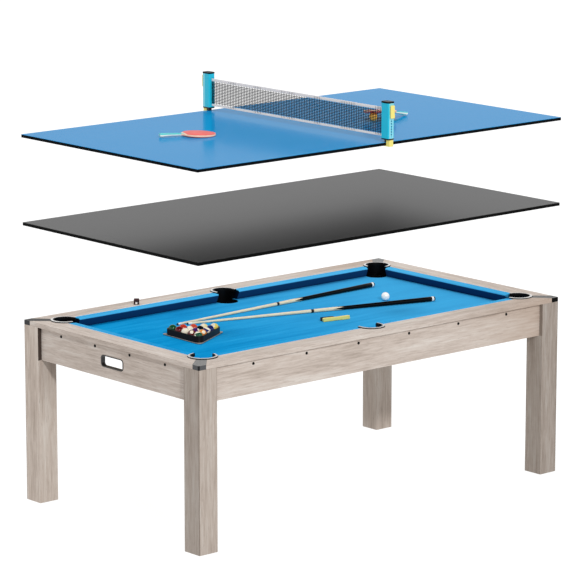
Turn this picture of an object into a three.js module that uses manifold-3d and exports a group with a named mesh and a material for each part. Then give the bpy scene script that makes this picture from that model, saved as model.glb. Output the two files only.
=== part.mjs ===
// Multi game table: a pool table with a dining board and a table tennis board lifted above it.
// Millimetres, +Z up, origin on the floor under the middle of the table, X along the table.
import * as THREE from 'three';
import { mergeGeometries, mergeVertices } from 'three/addons/utils/BufferGeometryUtils.js';
import Module from 'manifold-3d';

const wasm = await Module();
wasm.setup();

// Whole table
const tableLength = 2100;
const tableWidth = 1194;
const tableHeight = 810;
const seatGap = 0.3;
const overrun = 4;
const fineArcSteps = 12;
const cornerArcSteps = 4;

// Legs, aprons and the flat top frame of rails
const legSide = 98;
const railWidth = 97;
const railThickness = 20;
const apronRecess = 18;
const apronThickness = 18;
const apronHeight = 147;

// Metal cap over each mitred corner of the top frame
const capReach = 40;
const capPlate = 3;
const capTailWidthShare = 0.75;

// Plastic frame lining the window in the left apron
const windowLength = 143;
const windowHeight = 44;
const windowCornerRadius = 12;
const windowLip = 4;
const windowLipDepth = 2;
const windowWall = 2;

// Playing bed and its beams
const bedDepth = 44;
const bedThickness = 18;
const clothThickness = 1;
const beamWidth = 60;
const beamHeight = 40;
const beamSpreadShare = 1 / 3;

// Cushions
const cushionReach = 43;
const cushionSeat = 37;
const cushionUndercut = 16;
const cushionNose = 9;
const cushionRound = 3;
const cushionDrop = 1;
const cushionFacingRun = 14;

// Pockets: a horseshoe trim that stands proud of the rails, over a cup that hangs under the bed
const cornerPocketInset = 127;
const cornerPocketRadius = 64;
const cornerCupShift = 21;
const sidePocketInset = 100;
const sidePocketRadius = 60;
const sideCupShift = 24;
const trimBand = 14;
const trimRise = 5;
const trimStop = 120;
const cupRadius = 48;
const cupWall = 4;
const cupDepth = 66;
const pocketClearance = 0.5;

// Balls and their rack, a tray with a raised floor, and the insert that spaces the balls on it
const poolBallDiameter = 38.1;
const ballGap = 7.2;
const rackRows = 5;
const rackClearance = 2;
const rackWall = 4;
const rackHeight = 31;
const rackFlange = 4;
const rackFlangeThickness = 4;
const rackFlangeCorner = 14;
const rackFloor = 3;
const rackFloorRise = 5;
const rackInsert = 2;
const rackTurn = THREE.MathUtils.degToRad(-1.8);
const rackPlaceShares = [-0.2788, -0.0089];
const cueBallPlaceShares = [0.2629, 0.0082];

// Two-piece cues: the places are their butt ends
const cueLength = 1220;
const cueJointShare = 0.5;
const cueButtRadius = 11;
const cueJointRadius = 7.5;
const cueTipRadius = 4.5;
const cueBumper = 6;
const cueStudRadius = 4;
const cueStudLength = 22;
const cueSides = 16;
const cueAPlaceShares = [0.3432, 0.2281];
const cueATurn = THREE.MathUtils.degToRad(182.4);
const cueBPlaceShares = [0.3393, -0.1231];
const cueTipGap = 4;

// Bench brush, lying on its side: a flat wooden back with bristles along its head
const brushLength = 134;
const brushWidth = 17;
const brushBack = 12;
const brushHeadShare = 0.46;
const brushBristle = 19;
const brushSpreadShare = 0.1;
const bristleColumns = 34;
const bristleRows = 9;
const bristleRadius = 0.75;
const bristleEdge = 2;
const brushTurn = THREE.MathUtils.degToRad(-12.4);
const brushPlaceShares = [0.0467, -0.1389];

// Chalk cube on the back rail
const chalkSide = 24;
const chalkPlaceShare = -0.228;
const chalkInset = 69;
const chalkTurn = THREE.MathUtils.degToRad(-41.1);

// Loose boards and how far each is lifted
const boardThickness = 14;
const diningLift = 418;
const tennisLift = 372;

// Net, its posts and the spring reel in the front post
const netHeight = 125;
const netFoot = 22;
const netTape = 15;
const netStrand = 1.6;
const netGapsAlong = 32;
const netGapsUp = 6;
const housingWidth = 34;
const housingDepth = 48;
const housingOverhang = 21;
const housingHeight = 157;
const housingFoot = 11;
const housingWall = 2.5;
const housingCorner = 6;
const netSlot = 5;
const footDepth = 14;
const footWidth = 16;
const capHeight = 7;
const capLip = 1;
const jawWidth = 22;
const jawRise = 10;
const jawLip = 3.5;
const jawLipReach = 14;
const jawStem = 8;
const jawStemRise = 45;
const buttonWidth = 22;
const buttonHeight = 56;
const buttonPlate = 4;
const buttonTravel = 4.5;
const buttonNeck = 14;
const buttonNeckHeight = 40;
const buttonDrop = 8;
const notchCount = 6;
const notchSize = 5;
const reelRadius = 7;
const reelSides = 16;

// Paddles and the ball
const bladeLength = 148;
const bladeWidth = 146;
const bladeThickness = 9;
const bladeShoulder = 26;
const handleLength = 100;
const handleWidth = 28;
const handleThickness = 20;
const tennisBallDiameter = 38;
const lyingPlaceShares = [-0.236, 0.056];
const lyingTurn = THREE.MathUtils.degToRad(156.7);
const ballPlaceShares = [0.167, -0.1027];
const ballSpacing = 77;
const leaningTurn = THREE.MathUtils.degToRad(-41.1);
const leaningTilt = THREE.MathUtils.degToRad(11.7);
const leaningHandleTurn = THREE.MathUtils.degToRad(47);
const leaningAcross = 30;

// Levels and places that follow from the sizes above
const halfLength = tableLength / 2;
const halfWidth = tableWidth / 2;
const railBottom = tableHeight - railThickness;
const legTop = railBottom - seatGap;
const apronBottom = railBottom - apronHeight;
const apronInner = apronRecess + apronThickness;
const bedTop = tableHeight - bedDepth;
const bedBoardTop = bedTop - clothThickness - seatGap;
const bedBottom = bedBoardTop - bedThickness;
const cupBottom = bedTop - cupDepth;
const cupOuter = cupRadius + cupWall;
const nose = railWidth + cushionReach;
const diningBottom = tableHeight + diningLift;
const diningTop = diningBottom + boardThickness;
const tennisBottom = diningTop + tennisLift;
const tennisTop = tennisBottom + boardThickness;

// Small geometry helpers
const point = (x, y) => new THREE.Vector2(x, y);

function arc(centreX, centreY, radius, from, to, steps) {
  const turn = (to - from) / steps;
  return Array.from({ length: steps + 1 }, (_, i) => {
    const angle = from + turn * i;
    return point(centreX + radius * Math.cos(angle), centreY + radius * Math.sin(angle));
  });
}

function slab(outline, bottom, top, holes = []) {
  const shape = new THREE.Shape(outline);
  shape.holes = holes.map((hole) => new THREE.Path(hole));
  const geometry = new THREE.ExtrudeGeometry(shape, { depth: top - bottom, bevelEnabled: false });
  return geometry.translate(0, 0, bottom);
}

function block(x0, y0, z0, x1, y1, z1) {
  const geometry = new THREE.BoxGeometry(x1 - x0, y1 - y0, z1 - z0);
  return geometry.translate((x0 + x1) / 2, (y0 + y1) / 2, (z0 + z1) / 2);
}

function roundedRectangle(width, depth, radius, steps) {
  const x = width / 2 - radius;
  const y = depth / 2 - radius;
  const quarter = Math.PI / 2;
  return [
    ...arc(x, -y, radius, -quarter, 0, steps),
    ...arc(x, y, radius, 0, quarter, steps),
    ...arc(-x, y, radius, quarter, 2 * quarter, steps),
    ...arc(-x, -y, radius, 2 * quarter, 3 * quarter, steps),
  ];
}

function roundedTriangle(reach, radius, steps) {
  const corner = (turn) => {
    const x = reach * Math.cos(turn);
    const y = reach * Math.sin(turn);
    return arc(x, y, radius, turn - Math.PI / 3, turn + Math.PI / 3, steps);
  };
  const third = (2 * Math.PI) / 3;
  return [...corner(0), ...corner(third), ...corner(2 * third)];
}

function solid(geometry) {
  const bare = geometry.clone();
  bare.deleteAttribute('normal');
  bare.deleteAttribute('uv');
  const merged = mergeVertices(bare);
  return new wasm.Manifold(new wasm.Mesh({
    numProp: 3,
    vertProperties: new Float32Array(merged.attributes.position.array),
    triVerts: new Uint32Array(merged.index.array),
  }));
}

function surface(body) {
  const mesh = body.getMesh();
  const geometry = new THREE.BufferGeometry();
  geometry.setAttribute('position', new THREE.BufferAttribute(mesh.vertProperties, 3));
  geometry.setIndex(new THREE.BufferAttribute(mesh.triVerts, 1));
  geometry.computeVertexNormals();
  return geometry;
}

const joined = (...geometries) => surface(geometries.map(solid).reduce((a, b) => a.add(b)));
const cut = (base, ...tools) => surface(tools.map(solid).reduce((a, b) => a.subtract(b), solid(base)));

// A lathe whose profile starts and ends on the axis, turned so that the axis is Z
function turned(profile, sides) {
  const outline = profile.map(([radius, height]) => point(radius, height));
  return new THREE.LatheGeometry(outline, sides).rotateX(Math.PI / 2);
}

// A bar of one section in Y and Z, whose two ends are upright planes x = end(y)
function bar(section, startAt, endAt) {
  const count = section.length;
  const outline = section.map(([y, z]) => point(y, z));
  const positions = [startAt, endAt].flatMap((end) => section.flatMap(([y, z]) => [end(y), y, z]));
  const faces = THREE.ShapeUtils.triangulateShape(outline, []);
  const index = faces.flatMap(([a, b, c]) => [a, c, b, a + count, b + count, c + count]);
  for (let i = 0; i < count; i += 1) {
    const next = (i + 1) % count;
    index.push(i, next, next + count, i, next + count, i + count);
  }
  const geometry = new THREE.BufferGeometry();
  geometry.setAttribute('position', new THREE.Float32BufferAttribute(positions, 3));
  geometry.setIndex(index);
  geometry.computeVertexNormals();
  return geometry;
}

// Finishes
function finish(color, roughness, metalness) {
  return new THREE.MeshStandardMaterial({ color, roughness, metalness });
}
const oak = () => finish(0xc6bab0, 0.55, 0);
const capMetal = () => finish(0x6f7072, 0.35, 0.9);
const blackPlastic = () => finish(0x101113, 0.4, 0);
const cloth = () => finish(0x1497d8, 0.95, 0);
const rawBoard = () => finish(0x8a7a66, 0.85, 0);
const charcoal = () => finish(0x4a4a4b, 0.3, 0);
const tennisBlue = () => finish(0x4f96d2, 0.3, 0);
const netBlack = () => finish(0x1b1d22, 0.9, 0);
const turquoise = () => finish(0x19b3cf, 0.35, 0);
const yellow = () => finish(0xf2cf2b, 0.4, 0);
const ash = () => finish(0xe2cba4, 0.35, 0);
const lacquer = () => finish(0x0c0a0b, 0.15, 0);
const brushWood = () => finish(0xe3c95a, 0.5, 0);
const chalkPaper = () => finish(0x4b1217, 0.9, 0);
const redRubber = () => finish(0xe2555a, 0.6, 0);
const colouredResin = () => finish(0xb8202c, 0.1, 0);
const whiteResin = () => finish(0xf3f1ea, 0.1, 0);
const celluloid = () => finish(0xf0b52a, 0.4, 0);

const table = new THREE.Group();
function add(name, geometry, material, parent = table) {
  const mesh = new THREE.Mesh(geometry, material);
  mesh.name = name;
  parent.add(mesh);
  return mesh;
}

// Corner groups: their own origin is the outer corner of the table, with X and Y pointing inwards
const cornerPlaces = [
  ['front_left', -halfLength, -halfWidth, 0],
  ['front_right', halfLength, -halfWidth, 1],
  ['back_right', halfLength, halfWidth, 2],
  ['back_left', -halfLength, halfWidth, 3],
];
const corners = cornerPlaces.map(([name, x, y, quarters]) => {
  const group = new THREE.Group();
  group.position.set(x, y, 0);
  group.rotation.z = (quarters * Math.PI) / 2;
  table.add(group);
  return [name, group];
});

// Where a corner's trim meets the wood, along the rail, and where its facing ends at the nose
const trimMeetsWood = cornerPocketInset
  + Math.sqrt(cornerPocketRadius ** 2 - (cornerPocketInset - railWidth) ** 2);
const facingAt = (y) => trimMeetsWood + (cushionFacingRun * (y - railWidth)) / cushionReach;

// Pocket shapes in a frame of their own: u points to the bed, v lies across
const toPocket = (x, y) => {
  const root = Math.SQRT2;
  return [(x + y - 2 * cornerPocketInset) / root, (x - y) / root];
};
const stadium = (radius, shift) => [
  ...arc(0, 0, radius, Math.PI / 2, (3 * Math.PI) / 2, fineArcSteps),
  ...arc(shift, 0, radius, -Math.PI / 2, Math.PI / 2, fineArcSteps),
];

function horseshoe(radius, armStart, armTip) {
  const inner = radius - trimBand;
  const open = Math.atan2(armStart[1], armStart[0]);
  const innerOpen = Math.acos(armStart[0] / inner);
  return [
    point(armTip[0], armTip[1]),
    ...arc(0, 0, radius, open, 2 * Math.PI - open, 2 * fineArcSteps),
    point(armTip[0], -armTip[1]),
    point(armTip[0], trimBand - armTip[1]),
    ...arc(0, 0, inner, 2 * Math.PI - innerOpen, innerOpen, 2 * fineArcSteps),
    point(armTip[0], armTip[1] - trimBand),
  ];
}

const cornerTip = toPocket(facingAt(trimStop) - pocketClearance, trimStop);
const cornerArm = toPocket(trimMeetsWood, railWidth);
const cornerHorseshoe = horseshoe(cornerPocketRadius, cornerArm, cornerTip);
const sideTip = [trimStop - sidePocketInset, sidePocketRadius];
const sideHorseshoe = horseshoe(sidePocketRadius, [0, sidePocketRadius], sideTip);

// The cup and the trim above it are one moulding, joined by a lug at the back of the cup
function pocketLiner(trim, shift) {
  const outside = stadium(cupOuter, shift);
  const wall = slab(outside, cupBottom, bedTop, [stadium(cupRadius, shift)]);
  const floor = slab(outside, cupBottom, cupBottom + cupWall);
  const half = cupWall / 2;
  const lug = block(-cupOuter, -half, bedTop - overrun, half - cupOuter, half, bedTop + overrun);
  return joined(wall, floor, lug, slab(trim, bedTop + seatGap, tableHeight + trimRise));
}

const cornerTools = (radius, bottom, top) => slab(stadium(radius, cornerCupShift), bottom, top)
  .rotateZ(Math.PI / 4)
  .translate(cornerPocketInset, cornerPocketInset, 0);
const sideTools = (radius, bottom, top) => slab(stadium(radius, sideCupShift), bottom, top)
  .rotateZ(Math.PI / 2)
  .translate(0, sidePocketInset, 0);

// A round cut whose flats stay outside the true circle
function roundCut(x, y, radius, bottom, top) {
  const sides = 2 * fineArcSteps;
  const outer = radius / Math.cos(Math.PI / sides);
  const cylinder = new THREE.CylinderGeometry(outer, outer, top - bottom, sides);
  return cylinder.rotateX(Math.PI / 2).translate(x, y, (top + bottom) / 2);
}

// Cap plan: a five-sided plate along the mitre, ending at the pocket trim
const capTail = cornerPocketInset - cornerPocketRadius / Math.SQRT2 + capReach / 2;
function capPlan(grow) {
  const reach = capReach + grow;
  const half = (reach * capTailWidthShare) / 2;
  return [
    point(-grow, -grow),
    point(reach, -grow),
    point(capTail + half, capTail - half),
    point(capTail - half, capTail + half),
    point(-grow, reach),
  ];
}
const trimCutCorner = (bottom, top) => roundCut(
  cornerPocketInset, cornerPocketInset, cornerPocketRadius + pocketClearance, bottom, top);

function cornerCap() {
  const plate = slab(capPlan(0), tableHeight - capPlate, tableHeight);
  const skirtX = block(0, 0, railBottom, capReach, capPlate, tableHeight);
  const skirtY = block(0, 0, railBottom, capPlate, capReach, tableHeight);
  return cut(joined(plate, skirtX, skirtY), trimCutCorner(railBottom - overrun, tableHeight + overrun));
}

function capRecess() {
  const top = tableHeight + overrun;
  const plate = slab(capPlan(seatGap), tableHeight - capPlate - seatGap, top);
  const wide = capReach + seatGap;
  const deep = capPlate + seatGap;
  const skirtX = block(-overrun, -overrun, railBottom - overrun, wide, deep, top);
  const skirtY = block(-overrun, -overrun, railBottom - overrun, deep, wide, top);
  return joined(plate, skirtX, skirtY);
}

function leg() {
  const post = block(0, 0, 0, legSide, legSide, legTop);
  const cupRoom = cornerTools(cupOuter + pocketClearance, cupBottom - pocketClearance, legTop + overrun);
  const trimRoom = trimCutCorner(bedTop - overrun, legTop + overrun);
  return cut(post, cupRoom, trimRoom);
}

for (const [name, group] of corners) {
  add(`leg_${name}`, leg(), oak(), group);
  add(`corner_cap_${name}`, cornerCap(), capMetal(), group);
  const pocket = new THREE.Group();
  pocket.position.set(cornerPocketInset, cornerPocketInset, 0);
  pocket.rotation.z = Math.PI / 4;
  group.add(pocket);
  add(`pocket_${name}`, pocketLiner(cornerHorseshoe, cornerCupShift), blackPlastic(), pocket);
}

// Side groups: their own origin is the middle of one outer edge, with Y pointing inwards
const sides = [['front', 0, -halfWidth, 0], ['back', 0, halfWidth, 2],
  ['left', -halfLength, 0, 3], ['right', halfLength, 0, 1]].map(([name, x, y, quarters]) => {
  const group = new THREE.Group();
  group.position.set(x, y, 0);
  group.rotation.z = (quarters * Math.PI) / 2;
  table.add(group);
  return { name, group, length: name === 'front' || name === 'back' ? tableLength : tableWidth };
});

function rail(length, hasPocket) {
  const half = length / 2;
  const mitre = seatGap / 2;
  const plank = slab([
    point(mitre - half, 0),
    point(half - mitre, 0),
    point(half - railWidth - mitre, railWidth),
    point(railWidth + mitre - half, railWidth),
  ], railBottom, tableHeight);
  const bottom = railBottom - overrun;
  const top = tableHeight + overrun;
  const atLeft = (tool) => tool.translate(-half, 0, 0);
  const atRight = (tool) => tool.rotateZ(Math.PI / 2).translate(half, 0, 0);
  const tools = [
    atLeft(capRecess()), atRight(capRecess()),
    atLeft(trimCutCorner(bottom, top)), atRight(trimCutCorner(bottom, top)),
  ];
  if (hasPocket) {
    tools.push(roundCut(0, sidePocketInset, sidePocketRadius + pocketClearance, bottom, top));
  }
  return cut(plank, ...tools);
}

function apron(length) {
  const half = length / 2 - legSide - seatGap;
  return block(-half, apronRecess, apronBottom, half, apronInner, legTop);
}

const windowMiddle = apronBottom + apronHeight / 2;
const standing = (geometry, y) => geometry.rotateX(Math.PI / 2).translate(0, y, windowMiddle);
const windowOutline = (grow) => roundedRectangle(
  windowLength + 2 * grow, windowHeight + 2 * grow, windowCornerRadius + grow, cornerArcSteps);

const cushionTop = tableHeight - cushionDrop;
const cushionSection = [
  [railWidth - cushionSeat, bedTop + seatGap],
  [nose - cushionUndercut, bedTop + seatGap],
  [nose, cushionTop - cushionNose],
  [nose, cushionTop - cushionRound],
  [nose - cushionRound, cushionTop],
  [railWidth + seatGap, cushionTop],
  [railWidth + seatGap, railBottom - seatGap],
  [railWidth - cushionSeat, railBottom - seatGap],
];

for (const { name, group, length } of sides) {
  const half = length / 2;
  const long = length === tableLength;
  add(`rail_${name}`, rail(length, long), oak(), group);
  const board = apron(length);
  const window = standing(slab(windowOutline(windowWall + seatGap), -apronInner - overrun, overrun), 0);
  add(`apron_${name}`, name === 'left' ? cut(board, window) : board, oak(), group);
  const fromCorner = (y) => facingAt(y) + seatGap - half;
  const toCorner = (y) => -fromCorner(y);
  if (long) {
    const atPocket = sidePocketRadius + pocketClearance;
    const flip = name === 'back' ? ['right', 'left'] : ['left', 'right'];
    add(`cushion_${name}_${flip[0]}`, bar(cushionSection, fromCorner, () => -atPocket), cloth(), group);
    add(`cushion_${name}_${flip[1]}`, bar(cushionSection, () => atPocket, toCorner), cloth(), group);
    const pocket = new THREE.Group();
    pocket.position.set(0, sidePocketInset, 0);
    pocket.rotation.z = Math.PI / 2;
    group.add(pocket);
    add(`pocket_${name}_middle`, pocketLiner(sideHorseshoe, sideCupShift), blackPlastic(), pocket);
  } else {
    add(`cushion_${name}`, bar(cushionSection, fromCorner, toCorner), cloth(), group);
  }
  if (name === 'left') {
    const opening = windowOutline(0);
    const lip = slab(windowOutline(windowLip), 0, windowLipDepth, [opening]);
    const sleeve = slab(windowOutline(windowWall), -apronThickness - seatGap, windowLipDepth / 2, [opening]);
    add('window_frame', standing(joined(lip, sleeve), apronRecess - seatGap), blackPlastic(), group);
  }
}

// Bed: a board and its cloth, notched for the legs and open at the six pockets
function bedLayer(bottom, top) {
  const inset = apronInner + seatGap;
  const x = halfLength - inset;
  const y = halfWidth - inset;
  const sheet = block(-x, -y, bottom, x, y, top);
  const low = bottom - overrun;
  const high = top + overrun;
  const notch = legSide + seatGap;
  const tools = cornerPlaces.flatMap(([, cornerX, cornerY, quarters]) => {
    const place = (tool) => tool.rotateZ((quarters * Math.PI) / 2).translate(cornerX, cornerY, 0);
    return [
      place(block(0, 0, low, notch, notch, high)),
      place(cornerTools(cupOuter + pocketClearance, low, high)),
    ];
  });
  const hole = () => sideTools(cupOuter + pocketClearance, low, high);
  tools.push(hole().translate(0, -halfWidth, 0));
  tools.push(hole().rotateZ(Math.PI).translate(0, halfWidth, 0));
  return cut(sheet, ...tools);
}
add('bed_board', bedLayer(bedBottom, bedBoardTop), rawBoard());
add('bed_cloth', bedLayer(bedTop - clothThickness, bedTop), cloth());

for (const [name, side] of [['left', -1], ['right', 1]]) {
  const x = (side * tableLength * beamSpreadShare) / 2;
  const reach = halfWidth - apronInner - seatGap;
  const top = bedBottom - seatGap;
  const beam = block(x - beamWidth / 2, -reach, top - beamHeight, x + beamWidth / 2, reach, top);
  add(`bed_beam_${name}`, beam, rawBoard());
}

// Loose pieces on the bed
const bedSeat = bedTop + seatGap;
function onBed([shareX, shareY], turn = 0) {
  const group = new THREE.Group();
  group.position.set(shareX * tableLength, shareY * tableWidth, bedSeat);
  group.rotation.z = turn;
  table.add(group);
  return group;
}

const ballRadius = poolBallDiameter / 2;
const ballPitch = poolBallDiameter + ballGap;
const ballRing = 12;
const ballRows = 6;
const ball = (radius) => new THREE.SphereGeometry(radius, ballRing, ballRows).rotateX(Math.PI / 2);
const rackReach = ((rackRows - 1) * ballPitch) / Math.sqrt(3);
const rackGroup = onBed(rackPlaceShares, rackTurn);

const rackSeat = rackFloorRise + rackFloor + seatGap;
const ballInsert = roundedTriangle(rackReach, ballRadius, cornerArcSteps);
const rackedBalls = [slab(ballInsert, rackSeat, rackSeat + rackInsert)];
for (let row = 0; row < rackRows; row += 1) {
  for (let i = 0; i <= row; i += 1) {
    const x = rackReach - (row * ballPitch * Math.sqrt(3)) / 2;
    const y = (i - row / 2) * ballPitch;
    rackedBalls.push(ball(ballRadius).translate(x, y, rackSeat + ballRadius));
  }
}
add('racked_balls', joined(...rackedBalls), colouredResin(), rackGroup);

const rackInner = ballRadius + rackClearance;
const rackOuter = rackInner + rackWall;
const rackEdge = rackOuter + rackFlange;
const rackHole = roundedTriangle(rackReach, rackInner, cornerArcSteps);
const flangeReach = rackReach + 2 * (rackEdge - rackFlangeCorner);
const rackFrame = slab(roundedTriangle(rackReach, rackOuter, cornerArcSteps), 0, rackHeight, [rackHole]);
const rackBase = slab(
  roundedTriangle(flangeReach, rackFlangeCorner, cornerArcSteps), 0, rackFlangeThickness, [rackHole]);
const rackTray = slab(roundedTriangle(rackReach, rackInner + rackWall / 2, cornerArcSteps),
  rackFloorRise, rackFloorRise + rackFloor);
add('ball_rack', joined(rackFrame, rackBase, rackTray), blackPlastic(), rackGroup);

const cueBall = ball(ballRadius).translate(0, 0, ballRadius);
add('cue_ball', cueBall, whiteResin(), onBed(cueBallPlaceShares));

// A cue lies on the cloth along its whole taper, so its axis falls towards the tip
const cueSlope = Math.atan2(cueButtRadius - cueTipRadius, cueLength);
const cueJoint = cueLength * cueJointShare;
function cue(name, shares, turn) {
  const lying = onBed(shares, turn);
  const tilted = new THREE.Group();
  tilted.position.z = cueButtRadius + seatGap;
  tilted.rotation.y = Math.PI / 2 + cueSlope;
  lying.add(tilted);
  const bore = cueStudRadius + seatGap;
  const boreDepth = cueStudLength + seatGap;
  const butt = turned([
    [0, 0],
    [cueButtRadius - cueBumper / 2, 0],
    [cueButtRadius, cueBumper],
    [cueJointRadius, cueJoint],
    [bore, cueJoint],
    [bore, cueJoint - boreDepth],
    [0, cueJoint - boreDepth],
  ], cueSides);
  const foot = cueJoint + seatGap;
  const shaft = turned([
    [0, foot - cueStudLength],
    [cueStudRadius, foot - cueStudLength],
    [cueStudRadius, foot],
    [cueJointRadius, foot],
    [cueTipRadius, cueLength - cueTipRadius],
    [cueTipRadius / 2, cueLength],
    [0, cueLength],
  ], cueSides);
  add(`${name}_butt`, butt, lacquer(), tilted);
  add(`${name}_shaft`, shaft, ash(), tilted);
}
// The second cue points at a spot beside the tip of the first
const [buttAX, buttAY] = [cueAPlaceShares[0] * tableLength, cueAPlaceShares[1] * tableWidth];
const [buttBX, buttBY] = [cueBPlaceShares[0] * tableLength, cueBPlaceShares[1] * tableWidth];
const besideTipX = buttAX + cueLength * Math.cos(cueATurn);
const besideTipY = buttAY + cueLength * Math.sin(cueATurn) - cueTipGap;
cue('cue_a', cueAPlaceShares, cueATurn);
cue('cue_b', cueBPlaceShares, Math.atan2(besideTipY - buttBY, besideTipX - buttBX));

// The brush's head is a slice of its back with rows of strands that spread towards their tips
const brushHead = brushLength * brushHeadShare;
const bristleLength = brushBristle + brushBack / 2;
function bristles() {
  const pitchX = (brushHead - 2 * bristleEdge) / (bristleColumns - 1);
  const pitchY = (brushWidth - 2 * bristleEdge) / (bristleRows - 1);
  const strands = [];
  for (let i = 0; i < bristleColumns; i += 1) {
    for (let j = 0; j < bristleRows; j += 1) {
      const strand = new THREE.ConeGeometry(bristleRadius, bristleLength, 3);
      strand.rotateX(-Math.PI / 2).translate(i * pitchX, j * pitchY, bristleLength / 2);
      strands.push(strand);
    }
  }
  const middleX = ((bristleColumns - 1) * pitchX) / 2;
  const middleY = ((bristleRows - 1) * pitchY) / 2;
  const tuft = mergeGeometries(strands).translate(-middleX, -middleY, 0);
  const place = tuft.attributes.position;
  for (let i = 0; i < place.count; i += 1) {
    const spread = 1 + brushSpreadShare * Math.max(0, 1 - place.getZ(i) / brushBristle);
    place.setXY(i, place.getX(i) * spread, place.getY(i) * spread);
  }
  return tuft.translate(bristleEdge + middleX - brushLength / 2, 0, 0);
}
const brushHandle = slab(
  roundedRectangle(brushLength, brushWidth, brushWidth / 4, cornerArcSteps),
  brushBristle, brushBristle + brushBack);
const brush = joined(brushHandle, bristles());
brush.rotateX(Math.PI / 2).translate(0, brushBristle + brushBack, brushWidth / 2);
add('table_brush', brush, brushWood(), onBed(brushPlaceShares, brushTurn));

const chalkY = halfWidth - chalkInset;
const chalkX = chalkPlaceShare * tableLength;
const chalkHalf = chalkSide / 2;
const chalkSeat = tableHeight + seatGap;
const chalk = block(-chalkHalf, -chalkHalf, 0, chalkHalf, chalkHalf, chalkSide);
chalk.rotateZ(chalkTurn).translate(chalkX, chalkY, chalkSeat);
add('chalk', chalk, chalkPaper());

// Boards, each as large as the table top
const board = (bottom) => block(
  -halfLength, -halfWidth, bottom, halfLength, halfWidth, bottom + boardThickness);
add('dining_board', board(diningBottom), charcoal());
add('tennis_board', board(tennisBottom), tennisBlue());

// Net posts: their own origin is the board's top edge, with Y pointing inwards
const housingMiddle = housingDepth / 2 - housingOverhang;
const housingInner = housingDepth - housingOverhang;
const housingTop = housingFoot + housingHeight;
const jawFront = -housingOverhang;
const jawBack = -seatGap;
const stemMiddle = jawFront + housingWall + seatGap + jawStem / 2;
const buttonTop = housingTop - buttonDrop;
const buttonMiddle = buttonTop - buttonHeight / 2;
const neckHalf = buttonNeckHeight / 2;

function housing() {
  const plan = (shrink) => roundedRectangle(housingWidth - 2 * shrink, housingDepth - 2 * shrink,
    housingCorner - shrink, cornerArcSteps).map((p) => point(p.x, p.y + housingMiddle));
  const shell = slab(plan(0), housingFoot, housingTop);
  const hollow = slab(plan(housingWall), housingFoot + housingWall, housingTop + overrun);
  const foot = block(-footWidth / 2, 0, seatGap, footWidth / 2, footDepth, housingFoot + housingWall / 2);
  const slot = block(-netSlot / 2, housingMiddle, netFoot - netSlot / 2,
    netSlot / 2, housingInner + overrun, netFoot + netHeight + netSlot / 2);
  const stemHalf = jawStem / 2 + seatGap;
  const stemSlot = block(-stemHalf, stemMiddle - stemHalf, 0, stemHalf, stemMiddle + stemHalf,
    housingFoot + housingWall + overrun);
  const neckWide = buttonNeck / 2 + seatGap;
  const neckSlot = block(-neckWide, jawFront - overrun, buttonMiddle - neckHalf - seatGap,
    neckWide, jawFront + housingWall + overrun, buttonMiddle + neckHalf + seatGap);
  const notchRun = buttonTop - buttonHeight - housingFoot;
  const notches = Array.from({ length: notchCount }, (_, i) => {
    const z = housingFoot + (notchRun * (i + 1)) / (notchCount + 1);
    const half = notchSize / 2;
    return block(-half, jawFront - overrun, z - half, half, jawFront + housingWall / 2, z + half);
  });
  return cut(joined(shell, foot), hollow, slot, stemSlot, neckSlot, ...notches);
}

function housingCap() {
  const plan = roundedRectangle(housingWidth + 2 * capLip, housingDepth + 2 * capLip,
    housingCorner + capLip, cornerArcSteps).map((p) => point(p.x, p.y + housingMiddle));
  return slab(plan, housingTop + seatGap, housingTop + capHeight);
}

function jaw() {
  const bottom = -boardThickness - seatGap - jawLip;
  const half = jawWidth / 2;
  const outer = block(-half, jawFront, bottom, half, jawBack, jawRise);
  const lip = block(-half, jawFront / 2, bottom, half, jawLipReach, bottom + jawLip);
  const stemHalf = jawStem / 2;
  const stem = block(-stemHalf, stemMiddle - stemHalf, jawRise / 2,
    stemHalf, stemMiddle + stemHalf, housingFoot + jawStemRise);
  return joined(outer, lip, stem);
}

function button() {
  const back = jawFront - buttonTravel - seatGap;
  const plate = slab(roundedRectangle(buttonWidth, buttonHeight, buttonWidth / 4, cornerArcSteps),
    0, buttonPlate).rotateX(Math.PI / 2).translate(0, back, buttonMiddle);
  const half = buttonNeck / 2;
  const neck = block(-half, back - buttonPlate / 2, buttonMiddle - neckHalf,
    half, jawFront + housingWall + overrun / 2, buttonMiddle + neckHalf);
  return joined(plate, neck);
}

const reelY = housingInner - housingWall - seatGap - reelRadius;
for (const [name, y, turn] of [['front', -halfWidth, 0], ['back', halfWidth, Math.PI]]) {
  const post = new THREE.Group();
  post.position.set(0, y, tennisTop);
  post.rotation.z = turn;
  table.add(post);
  add(`net_housing_${name}`, housing(), turquoise(), post);
  add(`net_cap_${name}`, housingCap(), blackPlastic(), post);
  add(`net_jaw_${name}`, jaw(), yellow(), post);
  add(`net_button_${name}`, button(), yellow(), post);
  if (name === 'front') {
    const reelFoot = housingFoot + housingWall + seatGap;
    const reelLength = housingTop - reelFoot;
    const reel = new THREE.CylinderGeometry(reelRadius, reelRadius, reelLength, reelSides);
    reel.rotateX(Math.PI / 2).translate(0, reelY, reelFoot + reelLength / 2);
    add('net_reel', reel, blackPlastic(), post);
  }
}

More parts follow.
